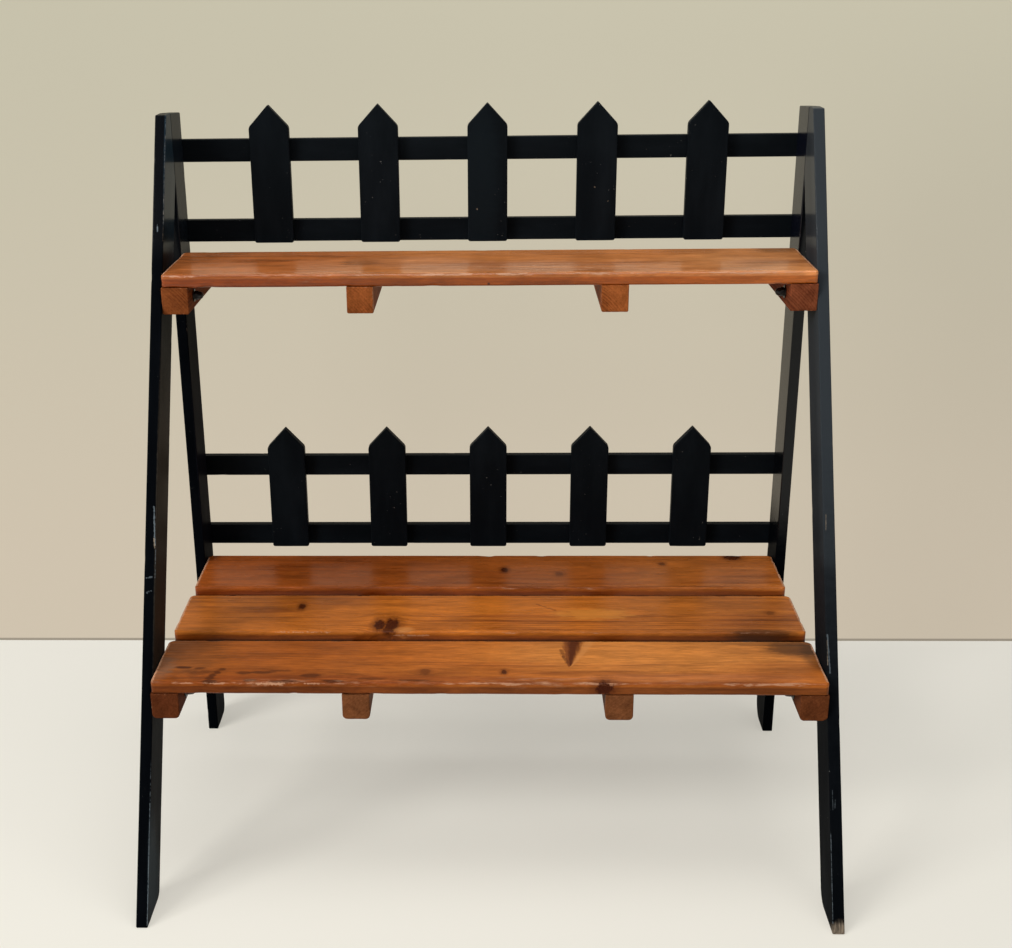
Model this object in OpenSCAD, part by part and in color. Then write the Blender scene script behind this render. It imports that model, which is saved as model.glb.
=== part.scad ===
// Two-tier plant stand: pine shelves on four black legs, with a low picket fence behind each shelf.
// Lengths are in millimetres. +Z is up, the front faces -Y, and the origin lies on the floor at the
// middle of the stand's width and depth. Left and right are as seen from the front.

/* [Frame] */
// Height of the leg tops above the floor
frame_h = 885; // [840:5:940]
// Depth on the floor, from the front toe to the rear leg's back edge
base_depth = 538; // [500:2:580]
// Thickness of the legs
leg_t = 14; // [12:1:20]
// Width of the legs, seen from the side
leg_w = 60; // [54:1:68]
// Depth of the front leg's bevelled top, measured forward from the joint
top_reach = 25; // [20:1:32]
// Fall of the rear leg's top towards the back
rear_top_fall = 5; // [1:1:10]
// Radius of the rounded heel at the foot of each leg
heel_r = 12; // [4:1:18]

/* [Shelves] */
// Length of the shelf boards
shelf_len = 800; // [700:10:900]
// Thickness of the boards
board_t = 16; // [14:1:20]
// Radius of the boards' long edges
board_edge_r = 4; // [1:0.5:6]
// Height of the lower shelf's top above the floor
lower_z = 268; // [240:2:300]
// Drop from the leg tops to the upper shelf's top
upper_drop = 179; // [170:1:190]
// Width of the upper shelf's one board
upper_board_w = 148; // [140:1:160]
// Width of each lower board
lower_board_w = 113; // [106:1:118]
// Gap between the lower boards
lower_board_gap = 26; // [18:1:30]
// How far the upper shelf stands proud of the front legs
upper_overhang = 18; // [12:1:24]
// How far the lower shelf stands proud of the front legs
lower_overhang = 24; // [16:1:28]
// Clearance between a board's end and the leg
end_clear = 1; // [0.5:0.5:2]

/* [Battens] */
// Width of the battens under the boards
batten_w = 33; // [28:1:38]
// Height of the battens
batten_h = 33; // [28:1:38]
// Radius of the battens' long edges
batten_edge_r = 2; // [0.5:0.5:4]
// Distance of the inner battens from the middle
inner_batten_x = 156; // [120:2:200]

/* [Fences] */
// Width of a picket
picket_w = 52; // [44:1:60]
// Length of a picket, point included
picket_len = 178; // [165:1:186]
// Thickness of a picket
picket_t = 12; // [9:1:15]
// Height of the picket's point
point_h = 28; // [20:1:34]
// Radius of the shoulders under the point
shoulder_r = 8; // [3:1:10]
// Radius of the picket's lower corners
picket_corner_r = 3; // [1:0.5:5]
// Height of a rail
rail_h = 29; // [24:1:34]
// Thickness of a rail
rail_t = 12; // [10:1:16]
// Distance from the lower rail's foot to the upper rail's foot
rail_pitch = 105; // [95:1:112]
// Height of the fence's foot above its shelf
fence_lift = 5; // [2:1:10]

/* [Bolts] */
// Diameter of the carriage bolts through legs and end battens
bolt_d = 6; // [5:1:8]
// Diameter of the bolt's domed head
bolt_head_d = 14; // [13:0.5:18]
// Height of the bolt's domed head
bolt_head_h = 3.5; // [2.5:0.5:5]
// Depth of the square neck under the head
neck_h = 4; // [2:0.5:6]
// Diameter of the washers
washer_d = 16; // [14:1:20]
// Thickness of the washers
washer_t = 1.5; // [1:0.5:2.5]
// Cap nut, width across its flats
nut_flats = 10; // [10:0.5:13]
// Cap nut, height of its hexagon
nut_hex_h = 5; // [4:0.5:7]
// Cap nut, height of its dome
nut_dome_h = 6; // [5:0.5:8]
// Depth to which the bolt enters the cap nut
nut_grip = 7; // [5:0.5:8]

/* [Screws and dowels] */
// Diameter of the screws' shanks
screw_d = 4; // [3:0.5:5]
// Diameter of the screws' countersunk heads
screw_head_d = 8; // [7:0.5:9]
// Height of the countersunk heads
screw_head_h = 2.5; // [2:0.5:3.5]
// Length of the screws that hold the boards from below
board_screw_len = 35; // [30:1:36]
// Depth to which they enter the boards
board_bite = 11; // [8:0.5:12]
// Distance of these screws from a board's edge
screw_inset = 22; // [18:1:28]
// Length of the screws that hold the rails to the rear legs
rail_screw_len = 40; // [30:1:44]
// Length of the screws that hold the pickets to the rails
picket_screw_len = 20; // [16:1:20]
// Diameter of the dowels in the leg-top joint
dowel_d = 6; // [5:1:8]
// Depth of the dowels in the front leg
dowel_front = 15; // [10:1:18]
// Depth of the dowels in the rear leg
dowel_rear = 24; // [16:1:26]
// Distance of the dowels from the joint's two ends
dowel_inset = 22; // [16:1:26]
// Clearance of a fastener in its hole
fit_gap = 0.1; // [0.05:0.05:0.25]

/* [Hidden] */
black = [0.09, 0.10, 0.12];
pine = [0.71, 0.40, 0.19];
dark_steel = [0.16, 0.16, 0.17];
zinc = [0.72, 0.72, 0.70];
beech = [0.83, 0.70, 0.52];
picket_count = 5;
cut_over = 1;
arc_steps = 6;
round_fn = 48;

// Planes across the width
inner_x = shelf_len / 2 + end_clear;
outer_x = inner_x + leg_t;
end_batten_x = inner_x - batten_w / 2;
batten_x = [-end_batten_x, -inner_batten_x, inner_batten_x, end_batten_x];

// Planes along the depth
toe_y = -(base_depth + rail_t) / 2;
back_y = toe_y + base_depth;
joint_y = back_y - leg_w;
run = joint_y - top_reach - toe_y;
lean = atan(run / frame_h);
leg_cut_w = leg_w / cos(lean);
joint_z = (joint_y - toe_y - leg_cut_w) * frame_h / run;

// The front edge of a front leg at height z
function front_edge_y(z) = toe_y + run * z / frame_h;

// The upper shelf comes first in each of these lists, the lower one second
shelf_z = [frame_h - upper_drop, lower_z];
overhang = [upper_overhang, lower_overhang];
board_w = [upper_board_w, lower_board_w];
board_n = [1, 3];
function shelf_front(s) = front_edge_y(shelf_z[s]) - overhang[s];
function board_front(s, i) = shelf_front(s) + i * (board_w[s] + lower_board_gap);
function shelf_back(s) = board_front(s, board_n[s] - 1) + board_w[s];
function batten_top(s) = shelf_z[s] - board_t;
function bolt_z(s) = batten_top(s) - batten_h / 2;
function rail_z(s, k) = shelf_z[s] + fence_lift + k * rail_pitch;

// The bolt in the front leg, k = 0, and in the rear leg, k = 1
function bolt_y(s, k) = k == 0 ? front_edge_y(bolt_z(s)) + leg_cut_w / 2 : back_y - leg_w / 2;
bolt_stack = leg_t + batten_w + washer_t;

// Pickets stand with equal gaps between the legs
picket_gap = (2 * inner_x - picket_count * picket_w) / (picket_count + 1);
function picket_x(i) = -inner_x + picket_gap + picket_w / 2 + i * (picket_gap + picket_w);

// Heights of the two dowels in each leg-top joint
dowel_z = [joint_z + dowel_inset, frame_h - dowel_inset];

function unit(v) = v / norm(v);
// Points of an arc of radius r that rounds the corner p between its neighbours a and b
function rounded(a, p, b, r) =
    let (u = unit(a - p), w = unit(b - p), half = acos(u * w) / 2)
    let (c = p + unit(u + w) * r / sin(half))
    let (first = p + u * r / tan(half) - c, last = p + w * r / tan(half) - c)
    let (start = atan2(first[1], first[0]), turn = atan2(last[1], last[0]) - start)
    let (step = (turn > 180 ? turn - 360 : turn < -180 ? turn + 360 : turn) / arc_steps)
    [for (i = [0:arc_steps]) c + r * [cos(start + step * i), sin(start + step * i)]];

// A rectangle from its lower left corner, with all four corners rounded
module round_bar(w, h, r) {
    translate([r, 0]) square([w - 2 * r, h]);
    translate([0, r]) square([w, h - 2 * r]);
    for (x = [r, w - r], y = [r, h - r]) translate([x, y]) circle(r, $fn = round_fn);
}

// Draws a profile given in Y and Z as a plate that starts at x
module plate(x, thickness) {
    translate([x, 0, 0]) rotate([90, 0, 90]) linear_extrude(thickness) children();
}

// Side outline of a front leg: a leaning bar whose top is bevelled to stand against the rear leg
module front_leg_outline() {
    heel = [toe_y + leg_cut_w, 0];
    polygon(concat(
        [[toe_y, 0]],
        rounded([toe_y, 0], heel, [joint_y, joint_z], heel_r),
        [[joint_y, joint_z], [joint_y, frame_h], [joint_y - top_reach, frame_h]]
    ));
}

// Side outline of an upright rear leg
module rear_leg_outline() {
    heel = [back_y, 0];
    top_back = [back_y, frame_h - rear_top_fall];
    polygon(concat(
        [[joint_y, 0]],
        rounded([joint_y, 0], heel, top_back, heel_r),
        [top_back, [joint_y, frame_h]]
    ));
}

// Puts its children at the bolts: Z runs in from the leg's outer face
module at_bolts(sides, rows, shelves) {
    for (side = sides, k = rows, s = shelves)
        mirror([side < 0 ? 1 : 0, 0, 0])
            translate([outer_x, bolt_y(s, k), bolt_z(s)]) rotate([0, -90, 0]) children();
}

// Puts its children at the screws of a board, with Z up from the batten's underside
module at_board_screws(s, boards, xs) {
    for (i = boards, x = xs, y = [screw_inset, board_w[s] - screw_inset])
        translate([x, board_front(s, i) + y, batten_top(s) + board_bite - board_screw_len]) children();
}

// Puts its children at the rail screws, with Z running forward from the rail's back
module at_rail_screws(sides, shelves, rails) {
    for (side = sides, s = shelves, k = rails)
        translate([side * (inner_x + leg_t / 2), back_y + rail_t, rail_z(s, k) + rail_h / 2])
            rotate([90, 0, 0]) children();
}

// Puts its children at the picket screws, with Z running forward from the rail's back
module at_picket_screws(pickets, shelves, rails) {
    for (i = pickets, s = shelves, k = rails)
        translate([picket_x(i), back_y + rail_t, rail_z(s, k) + rail_h / 2]) rotate([90, 0, 0]) children();
}

// Puts its children at the dowels, with Z running back from the front leg into the rear leg
module at_dowels(sides) {
    for (side = sides, z = dowel_z)
        translate([side * (inner_x + leg_t / 2), joint_y - dowel_front, z]) rotate([-90, 0, 0]) children();
}

// A countersunk screw: its head's face lies at Z 0 and its point at Z len
module screw(len) {
    shank_r = screw_d / 2;
    tip_h = screw_d;
    cylinder(h = screw_head_h, r1 = screw_head_d / 2, r2 = shank_r, $fn = round_fn);
    cylinder(h = len - tip_h, r = shank_r, $fn = round_fn);
    translate([0, 0, len - tip_h]) cylinder(h = tip_h, r1 = shank_r, r2 = shank_r / 4, $fn = round_fn);
}

// The room that a screw takes, open behind its head for the given length
module screw_room(len, open) {
    translate([0, 0, -open]) cylinder(h = open, r = screw_head_d / 2 + fit_gap, $fn = round_fn);
    cylinder(h = screw_head_h, r1 = screw_head_d / 2 + fit_gap, r2 = screw_d / 2 + fit_gap, $fn = round_fn);
    cylinder(h = len + fit_gap, r = screw_d / 2 + fit_gap, $fn = round_fn);
}

// The room that a bolt and its square neck take
module bolt_room() {
    neck = bolt_d + 2 * fit_gap;
    translate([0, 0, -cut_over])
        cylinder(h = bolt_stack + 2 * cut_over, r = bolt_d / 2 + fit_gap, $fn = round_fn);
    translate([-neck / 2, -neck / 2, -cut_over]) cube([neck, neck, cut_over + neck_h + fit_gap]);
}

// The room that a dowel takes
module dowel_room() {
    translate([0, 0, -fit_gap])
        cylinder(h = dowel_front + dowel_rear + 2 * fit_gap, r = dowel_d / 2 + fit_gap, $fn = round_fn);
}

module front_leg(side) {
    color(black) difference() {
        plate(side > 0 ? inner_x : -outer_x, leg_t) front_leg_outline();
        at_bolts([side], [0], [0, 1]) bolt_room();
        at_dowels([side]) dowel_room();
    }
}

module rear_leg(side) {
    color(black) difference() {
        plate(side > 0 ? inner_x : -outer_x, leg_t) rear_leg_outline();
        at_bolts([side], [1], [0, 1]) bolt_room();
        at_dowels([side]) dowel_room();
        at_rail_screws([side], [0, 1], [0, 1]) screw_room(rail_screw_len, cut_over);
    }
}

// One shelf board with its blind screw holes underneath
module board(s, i) {
    color(pine) difference() {
        translate([0, board_front(s, i), batten_top(s)])
            plate(-shelf_len / 2, shelf_len) round_bar(board_w[s], board_t, board_edge_r);
        at_board_screws(s, [i], batten_x) screw_room(board_screw_len, cut_over);
    }
}

// One batten across the underside of a shelf: the end ones run on to the rear legs and take the bolts
module batten(s, i) {
    outermost = i == 0 || i == len(batten_x) - 1;
    y_end = outermost ? back_y : shelf_back(s);
    color(pine) difference() {
        translate([batten_x[i] - batten_w / 2, y_end, batten_top(s) - batten_h]) rotate([90, 0, 0])
            linear_extrude(y_end - shelf_front(s)) round_bar(batten_w, batten_h, batten_edge_r);
        at_board_screws(s, [0:board_n[s] - 1], [batten_x[i]]) screw_room(board_screw_len, batten_h);
        if (outermost) at_bolts([i == 0 ? -1 : 1], [0, 1], [s]) bolt_room();
    }
}

// A fence rail on the back edges of the rear legs
module rail(s, k) {
    color(black) difference() {
        translate([-outer_x, back_y, rail_z(s, k)]) cube([2 * outer_x, rail_t, rail_h]);
        at_rail_screws([-1, 1], [s], [k]) screw_room(rail_screw_len, cut_over);
        at_picket_screws([0:picket_count - 1], [s], [k]) screw_room(picket_screw_len, cut_over);
    }
}

// Front outline of a picket, from the middle of its foot
module picket_outline() {
    half = picket_w / 2;
    shoulder = picket_len - point_h;
    foot = [half, 0];
    corner = [half, shoulder];
    tip = [0, picket_len];
    right = concat(
        rounded([0, 0], foot, corner, picket_corner_r),
        rounded(foot, corner, tip, shoulder_r),
        [tip]
    );
    left = [for (j = [len(right) - 2:-1:0]) [-right[j][0], right[j][1]]];
    polygon(concat(right, left));
}

module picket(s, i) {
    color(black) difference() {
        translate([picket_x(i), back_y, rail_z(s, 0)])
            rotate([90, 0, 0]) linear_extrude(picket_t) picket_outline();
        at_picket_screws([i], [s], [0, 1]) screw_room(picket_screw_len, cut_over);
    }
}

// Carriage bolts: domed head outside the leg, square neck in it, plain end in the cap nut
module shelf_bolts() {
    dome_r = (pow(bolt_head_d / 2, 2) + pow(bolt_head_h, 2)) / (2 * bolt_head_h);
    color(dark_steel) at_bolts([-1, 1], [0, 1], [0, 1]) {
        rotate_extrude($fn = round_fn) intersection() {
            translate([0, dome_r - bolt_head_h]) circle(dome_r, $fn = 2 * round_fn);
            translate([0, -bolt_head_h]) square([bolt_head_d / 2, bolt_head_h]);
        }
        translate([-bolt_d / 2, -bolt_d / 2, 0]) cube([bolt_d, bolt_d, neck_h]);
        cylinder(h = bolt_stack + nut_grip, r = bolt_d / 2, $fn = round_fn);
    }
}

module bolt_washers() {
    color(dark_steel) at_bolts([-1, 1], [0, 1], [0, 1])
        translate([0, 0, bolt_stack - washer_t]) difference() {
            cylinder(h = washer_t, r = washer_d / 2, $fn = round_fn);
            translate([0, 0, -cut_over])
                cylinder(h = washer_t + 2 * cut_over, r = bolt_d / 2 + fit_gap, $fn = round_fn);
        }
}

// Cap nuts: a hexagon with a domed end, bored from the washer's side
module cap_nuts() {
    dome_w = nut_flats / 2 - fit_gap;
    color(dark_steel) at_bolts([-1, 1], [0, 1], [0, 1]) translate([0, 0, bolt_stack]) difference() {
        union() {
            cylinder(h = nut_hex_h, r = nut_flats / 2 / cos(30), $fn = 6);
            translate([0, 0, nut_hex_h]) cylinder(h = nut_dome_h - dome_w, r = dome_w, $fn = round_fn);
            translate([0, 0, nut_hex_h + nut_dome_h - dome_w]) intersection() {
                sphere(dome_w, $fn = round_fn);
                cylinder(h = dome_w, r = nut_flats, $fn = round_fn);
            }
        }
        translate([0, 0, -cut_over])
            cylinder(h = nut_grip + fit_gap + cut_over, r = bolt_d / 2 + fit_gap, $fn = round_fn);
    }
}

module board_screws(s) {
    color(zinc) at_board_screws(s, [0:board_n[s] - 1], batten_x) screw(board_screw_len);
}

module rail_screws() {
    color(zinc) at_rail_screws([-1, 1], [0, 1], [0, 1]) screw(rail_screw_len);
}

module picket_screws() {
    color(zinc) at_picket_screws([0:picket_count - 1], [0, 1], [0, 1]) screw(picket_screw_len);
}

module leg_joint_dowels() {
    color(beech) at_dowels([-1, 1]) cylinder(h = dowel_front + dowel_rear, r = dowel_d / 2, $fn = round_fn);
}

module front_leg_left() front_leg(-1);
module front_leg_right() front_leg(1);
module rear_leg_left() rear_leg(-1);
module rear_leg_right() rear_leg(1);
module upper_shelf_board() board(0, 0);
module lower_board_front() board(1, 0);
module lower_board_middle() board(1, 1);
module lower_board_rear() board(1, 2);
module upper_batten_left_end() batten(0, 0);
module upper_batten_left_inner() batten(0, 1);
module upper_batten_right_inner() batten(0, 2);
module upper_batten_right_end() batten(0, 3);
module lower_batten_left_end() batten(1, 0);
module lower_batten_left_inner() batten(1, 1);
module lower_batten_right_inner() batten(1, 2);
module lower_batten_right_end() batten(1, 3);
module upper_fence_rail_bottom() rail(0, 0);
module upper_fence_rail_top() rail(0, 1);
module lower_fence_rail_bottom() rail(1, 0);
module lower_fence_rail_top() rail(1, 1);
module upper_picket_1() picket(0, 0);
module upper_picket_2() picket(0, 1);
module upper_picket_3() picket(0, 2);
module upper_picket_4() picket(0, 3);
module upper_picket_5() picket(0, 4);
module lower_picket_1() picket(1, 0);
module lower_picket_2() picket(1, 1);
module lower_picket_3() picket(1, 2);
module lower_picket_4() picket(1, 3);
module lower_picket_5() picket(1, 4);
module upper_board_screws() board_screws(0);
module lower_board_screws() board_screws(1);

front_leg_left();
front_leg_right();
rear_leg_left();
rear_leg_right();
upper_shelf_board();
lower_board_front();
lower_board_middle();
lower_board_rear();
upper_batten_left_end();
upper_batten_left_inner();
upper_batten_right_inner();
upper_batten_right_end();
lower_batten_left_end();
lower_batten_left_inner();
lower_batten_right_inner();
lower_batten_right_end();
upper_fence_rail_bottom();
upper_fence_rail_top();
lower_fence_rail_bottom();
lower_fence_rail_top();
upper_picket_1();
upper_picket_2();
upper_picket_3();
upper_picket_4();
upper_picket_5();
lower_picket_1();
lower_picket_2();
lower_picket_3();
lower_picket_4();
lower_picket_5();
shelf_bolts();
bolt_washers();
cap_nuts();
leg_joint_dowels();
upper_board_screws();
lower_board_screws();
rail_screws();
picket_screws();
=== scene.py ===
"""Looks of the two-tier plant stand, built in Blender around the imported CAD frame.

Everything is in metres in the row frame: +Z is up and the stand's front faces -Y. The wooden pieces
are built here with softened, worn arrises, inside the boxes of the CAD solids that they stand for.
"""

import logging
import math
from dataclasses import dataclass, field
from enum import Enum

import bmesh
import bpy
import numpy as np
from mathutils import Matrix, Vector


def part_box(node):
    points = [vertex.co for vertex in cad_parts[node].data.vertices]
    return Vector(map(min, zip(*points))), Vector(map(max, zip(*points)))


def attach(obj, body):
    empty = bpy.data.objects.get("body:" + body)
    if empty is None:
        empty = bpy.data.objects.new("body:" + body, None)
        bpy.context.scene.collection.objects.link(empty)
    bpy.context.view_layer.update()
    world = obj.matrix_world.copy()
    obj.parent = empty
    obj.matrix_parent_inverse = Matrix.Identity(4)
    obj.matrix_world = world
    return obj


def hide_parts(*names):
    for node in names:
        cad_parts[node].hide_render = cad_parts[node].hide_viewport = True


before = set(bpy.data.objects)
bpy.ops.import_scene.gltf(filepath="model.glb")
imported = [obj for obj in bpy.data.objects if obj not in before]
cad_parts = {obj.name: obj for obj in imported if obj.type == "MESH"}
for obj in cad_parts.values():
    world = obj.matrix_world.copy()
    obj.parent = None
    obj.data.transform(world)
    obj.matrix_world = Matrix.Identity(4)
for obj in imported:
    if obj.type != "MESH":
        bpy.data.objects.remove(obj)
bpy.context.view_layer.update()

LOG = logging.getLogger("plant_stand")
BODY = "root"
SHELF_TOP, UPPER_TOP = 0.268, 0.706
LEG_WIDTH, TOP_REACH = 0.06, 0.025
BOARDS = {"upper": ["upper_shelf_board"], "lower": ["lower_board_front", "lower_board_middle", "lower_board_rear"]}
BATTENS = ("left_end", "left_inner", "right_inner", "right_end")
RAILS = ("bottom", "top")
PICKETS = range(1, 6)
BOARD_SCREW_INSET = 0.022
BLACK = (0.0, 0.0, 0.0)
FORWARDS = (0.0, -1.0, 0.0)

Point = tuple[float, float, float]
Colour = tuple[float, float, float]
Socket = bpy.types.NodeSocket
NodeGroup = bpy.types.ShaderNodeTree
Material = bpy.types.Material
Piece = bpy.types.Object
Setting = float | Point | bpy.types.NodeSocket
Solid = tuple[list[Point], list[list[int]]]


class Slot(Enum):
    """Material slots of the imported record."""

    PAINT = "black_paint"
    SHELF = "shelf_pine"
    BATTEN = "batten_pine"
    STEEL = "black_steel"
    ZINC = "zinc_steel"
    BEECH = "beech"


class Lie(Enum):
    """The plane in which a plate's outline is drawn, by the axes of its two directions and its thickness."""

    SIDE = (1, 2, 0)
    FRONT = (0, 2, 1)
    FLAT = (0, 1, 2)


# Shader graphs


class Graph:
    """Adds nodes to a tree, and links or sets their inputs."""

    def __init__(self, tree: bpy.types.NodeTree) -> None:
        """Keeps the tree that the nodes go into."""
        self.tree = tree

    def feed(self, socket: Socket, value: Setting) -> None:
        """Links a socket to another, or sets its value.

        Args:
            socket: The input to feed.
            value: A socket to link from, a number or a tuple.
        """
        if isinstance(value, bpy.types.NodeSocket):
            self.tree.links.new(value, socket)
        elif socket.type == "RGBA":
            socket.default_value = (*value, 1.0)
        else:
            socket.default_value = value

    def add(self, kind: str, inputs: dict[str | int, Setting] | None = None, **settings: object) -> bpy.types.Node:
        """Adds a node.

        Args:
            kind: The node's type name without its ShaderNode prefix.
            inputs: Values or links by input name or index.
            **settings: Properties of the node itself.

        Returns:
            The new node.
        """
        node = self.tree.nodes.new("ShaderNode" + kind)
        for name, value in settings.items():
            setattr(node, name, value)
        for name, value in (inputs or {}).items():
            self.feed(node.inputs[name], value)
        return node

    def math(self, operation: str, *values: Setting, clamp: bool = False) -> Socket:
        """Adds a Math node."""
        return self.add("Math", dict(enumerate(values)), operation=operation, use_clamp=clamp).outputs[0]

    def chain(self, operation: str, first: Setting, *others: Setting) -> Socket:
        """Applies an operation of two values along a row of them.

        Args:
            operation: The Math node's operation.
            first: The first value.
            *others: The values that follow.

        Returns:
            The result.
        """
        for other in others:
            first = self.math(operation, first, other)
        return first

    def plus(self, *values: Setting) -> Socket:
        """Adds values up."""
        return self.chain("ADD", *values)

    def times(self, *values: Setting) -> Socket:
        """Multiplies values."""
        return self.chain("MULTIPLY", *values)

    def rest(self, value: Setting) -> Socket:
        """Gives what a share leaves of 1."""
        return self.math("SUBTRACT", 1.0, value)

    def swing(self, value: Setting, reach: Setting, centre: float = 0.5) -> Socket:
        """Gives a value's distance from a centre, times a reach."""
        return self.times(self.math("SUBTRACT", value, centre), reach)

    def vector(self, operation: str, *values: Setting) -> Socket:
        """Adds a Vector Math node."""
        node = self.add("VectorMath", dict(enumerate(values)), operation=operation)
        return node.outputs["Value" if operation in ("LENGTH", "DOT_PRODUCT") else "Vector"]

    def scaled(self, vector: Setting, factor: Setting) -> Socket:
        """Scales a vector."""
        return self.add("VectorMath", {0: vector, "Scale": factor}, operation="SCALE").outputs[0]

    def axes(self, vector: Setting) -> bpy.types.bpy_prop_collection:
        """Splits a vector into its three values."""
        return self.add("SeparateXYZ", {0: vector}).outputs

    def grey(self, value: Setting) -> Socket:
        """Gives a grey of a value's brightness."""
        return self.add("CombineXYZ", {0: value, 1: value, 2: value}).outputs[0]

    def place(self) -> Socket:
        """Gives the place in the stand's own frame."""
        return self.add("TexCoord").outputs["Object"]

    def carried(self, name: str, output: str) -> Socket:
        """Gives a value that the meshes carry."""
        return self.add("Attribute", attribute_name=name).outputs[output]

    def step(self, value: Setting, low: Setting, high: Setting, start: float = 0.0, end: float = 1.0) -> Socket:
        """Adds a smooth step."""
        inputs = {"Value": value, "From Min": low, "From Max": high, "To Min": start, "To Max": end}
        return self.add("MapRange", inputs, interpolation_type="SMOOTHSTEP").outputs["Result"]

    def noise(
        self, place: Setting, stretch: Setting, detail: float = 2.0, roughness: float = 0.5, output: int = 0,
    ) -> Socket:
        """Adds a noise that is stretched by axis.

        Args:
            place: The coordinates in metres.
            stretch: Waves per metre along each axis.
            detail: The noise's detail.
            roughness: The noise's roughness.
            output: 0 for its value and 1 for its colour.

        Returns:
            The noise.
        """
        inputs = {
            "Vector": self.vector("MULTIPLY", place, stretch), "Scale": 1.0, "Detail": detail, "Roughness": roughness,
        }
        return self.add("TexNoise", inputs).outputs[output]

    def blend(self, share: Setting, first: Setting, second: Setting, mode: str = "MIX") -> Socket:
        """Mixes two colours."""
        return self.add("Mix", {0: share, 6: first, 7: second}, data_type="RGBA", blend_type=mode).outputs[2]

    def group(self, effect: NodeGroup, **inputs: Setting) -> bpy.types.bpy_prop_collection:
        """Places one of the shared effects.

        Args:
            effect: The node group.
            **inputs: Its inputs by name, with underscores for spaces.

        Returns:
            The group's outputs.
        """
        node = self.tree.nodes.new("ShaderNodeGroup")
        node.node_tree = effect
        for name, value in inputs.items():
            self.feed(node.inputs[name.replace("_", " ")], value)
        return node.outputs


FLOAT, VECTOR, COLOUR = "NodeSocketFloat", "NodeSocketVector", "NodeSocketColor"


class Effect:
    """A shader node group with named inputs and outputs."""

    def __init__(self, name: str, inputs: dict[str, str], outputs: dict[str, str]) -> None:
        """Makes the empty group.

        Args:
            name: The group's name.
            inputs: Socket types by name.
            outputs: Socket types by name.
        """
        self.tree = bpy.data.node_groups.new(name, "ShaderNodeTree")
        for way, sockets in (("INPUT", inputs), ("OUTPUT", outputs)):
            for title, kind in sockets.items():
                self.tree.interface.new_socket(name=title, in_out=way, socket_type=kind)
        self.graph = Graph(self.tree)
        self.inside = self.tree.nodes.new("NodeGroupInput").outputs
        self.out = self.tree.nodes.new("NodeGroupOutput").inputs

    def give(self, **results: Setting) -> NodeGroup:
        """Feeds the group's outputs.

        Args:
            **results: The outputs by name.

        Returns:
            The finished group.
        """
        for name, value in results.items():
            self.graph.feed(self.out[name], value)
        return self.tree


def from_line(g: Graph, place: Socket, start: Socket, end: Socket, clamp: bool) -> tuple[Socket, Socket]:
    """Measures a place against a line.

    Args:
        g: The graph that the nodes go into.
        place: The place.
        start: The line's start.
        end: The line's end.
        clamp: Whether the line stops at its ends.

    Returns:
        How far along the line the place lies, as a share of it, and the vector from the line to the place.
    """
    span = g.vector("SUBTRACT", end, start)
    away = g.vector("SUBTRACT", place, start)
    lengths = g.vector("DOT_PRODUCT", away, span), g.vector("DOT_PRODUCT", span, span)
    share = g.math("DIVIDE", *lengths, clamp=clamp)
    return share, g.vector("SUBTRACT", away, g.scaled(span, share))


def pine_grain() -> NodeGroup:
    """Growth rings round a pith, with fibres and blotches, as a solid wood that shows its end grain.

    Returns:
        The node group. Coordinates run along the grain, across the board and through its depth.
    """
    effect = Effect(
        "PineGrain",
        {"Coordinates": VECTOR, "Ring Spacing": FLOAT, "Pith": VECTOR, "Waviness": FLOAT,
         "Contrast": FLOAT, "Streaks": FLOAT, "Light": COLOUR, "Dark": COLOUR},
        {"Color": COLOUR, "Late": FLOAT, "Fibre": FLOAT},
    )
    g, inside = effect.graph, effect.inside
    place, half = inside["Coordinates"], (0.5, 0.5, 0.5)
    warp = g.vector("SUBTRACT", g.noise(place, (1.3, 5.0, 5.0), 2.5, output=1), half)
    small = g.vector("SUBTRACT", g.noise(place, (7.0, 30.0, 30.0), 1.5, output=1), half)
    warp = g.vector("ADD", warp, g.vector("MULTIPLY", small, (0.07, 0.07, 0.07)))
    moved = g.vector("SUBTRACT", g.vector("ADD", place, g.scaled(warp, inside["Waviness"])), inside["Pith"])
    radius = g.vector("LENGTH", g.vector("MULTIPLY", moved, (0.0, 1.0, 1.0)))
    uneven = g.add("TexNoise", {"W": g.times(radius, 90.0), "Scale": 1.0, "Detail": 1.0}, noise_dimensions="1D")
    rings = g.plus(g.math("DIVIDE", radius, inside["Ring Spacing"]), g.times(uneven.outputs[0], 2.2))
    part = g.math("FRACT", rings)
    fade = g.step(g.noise(place, (2.0, 14.0, 14.0)), 0.35, 0.65, 0.2, 1.0)
    late = g.times(g.step(part, 0.3, 0.86), g.step(part, 0.9, 1.0, 1.0, 0.0), fade)
    streak = g.noise(place, (3.4, 150.0, 150.0), 4.0, 0.62)
    band = g.noise(place, (1.3, 34.0, 34.0), 3.0, 0.6)
    fibre = g.noise(place, (14.0, 900.0, 900.0))
    blotch = g.noise(place, (4.2, 10.0, 10.0), 3.0, 0.55)
    dark = g.plus(
        g.times(late, inside["Contrast"]), g.swing(streak, inside["Streaks"], 0.44), g.swing(band, 1.1),
        g.swing(blotch, 2.0),
    )
    dark = g.math("ADD", dark, g.swing(fibre, 0.35), clamp=True)
    colour = g.blend(dark, inside["Light"], inside["Dark"])
    mottle = g.noise(place, (9.0, 62.0, 62.0), 5.0, 0.68)
    speckle = g.noise(place, (44.0, 380.0, 380.0), 3.0, 0.7)
    shade = g.times(g.step(mottle, 0.3, 0.7, 0.79, 1.21), g.step(speckle, 0.25, 0.75, 0.8, 1.2))
    colour = g.blend(1.0, colour, g.grey(shade), "MULTIPLY")
    return effect.give(Color=colour, Late=late, Fibre=g.plus(fibre, g.times(streak, 0.6)))


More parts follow.
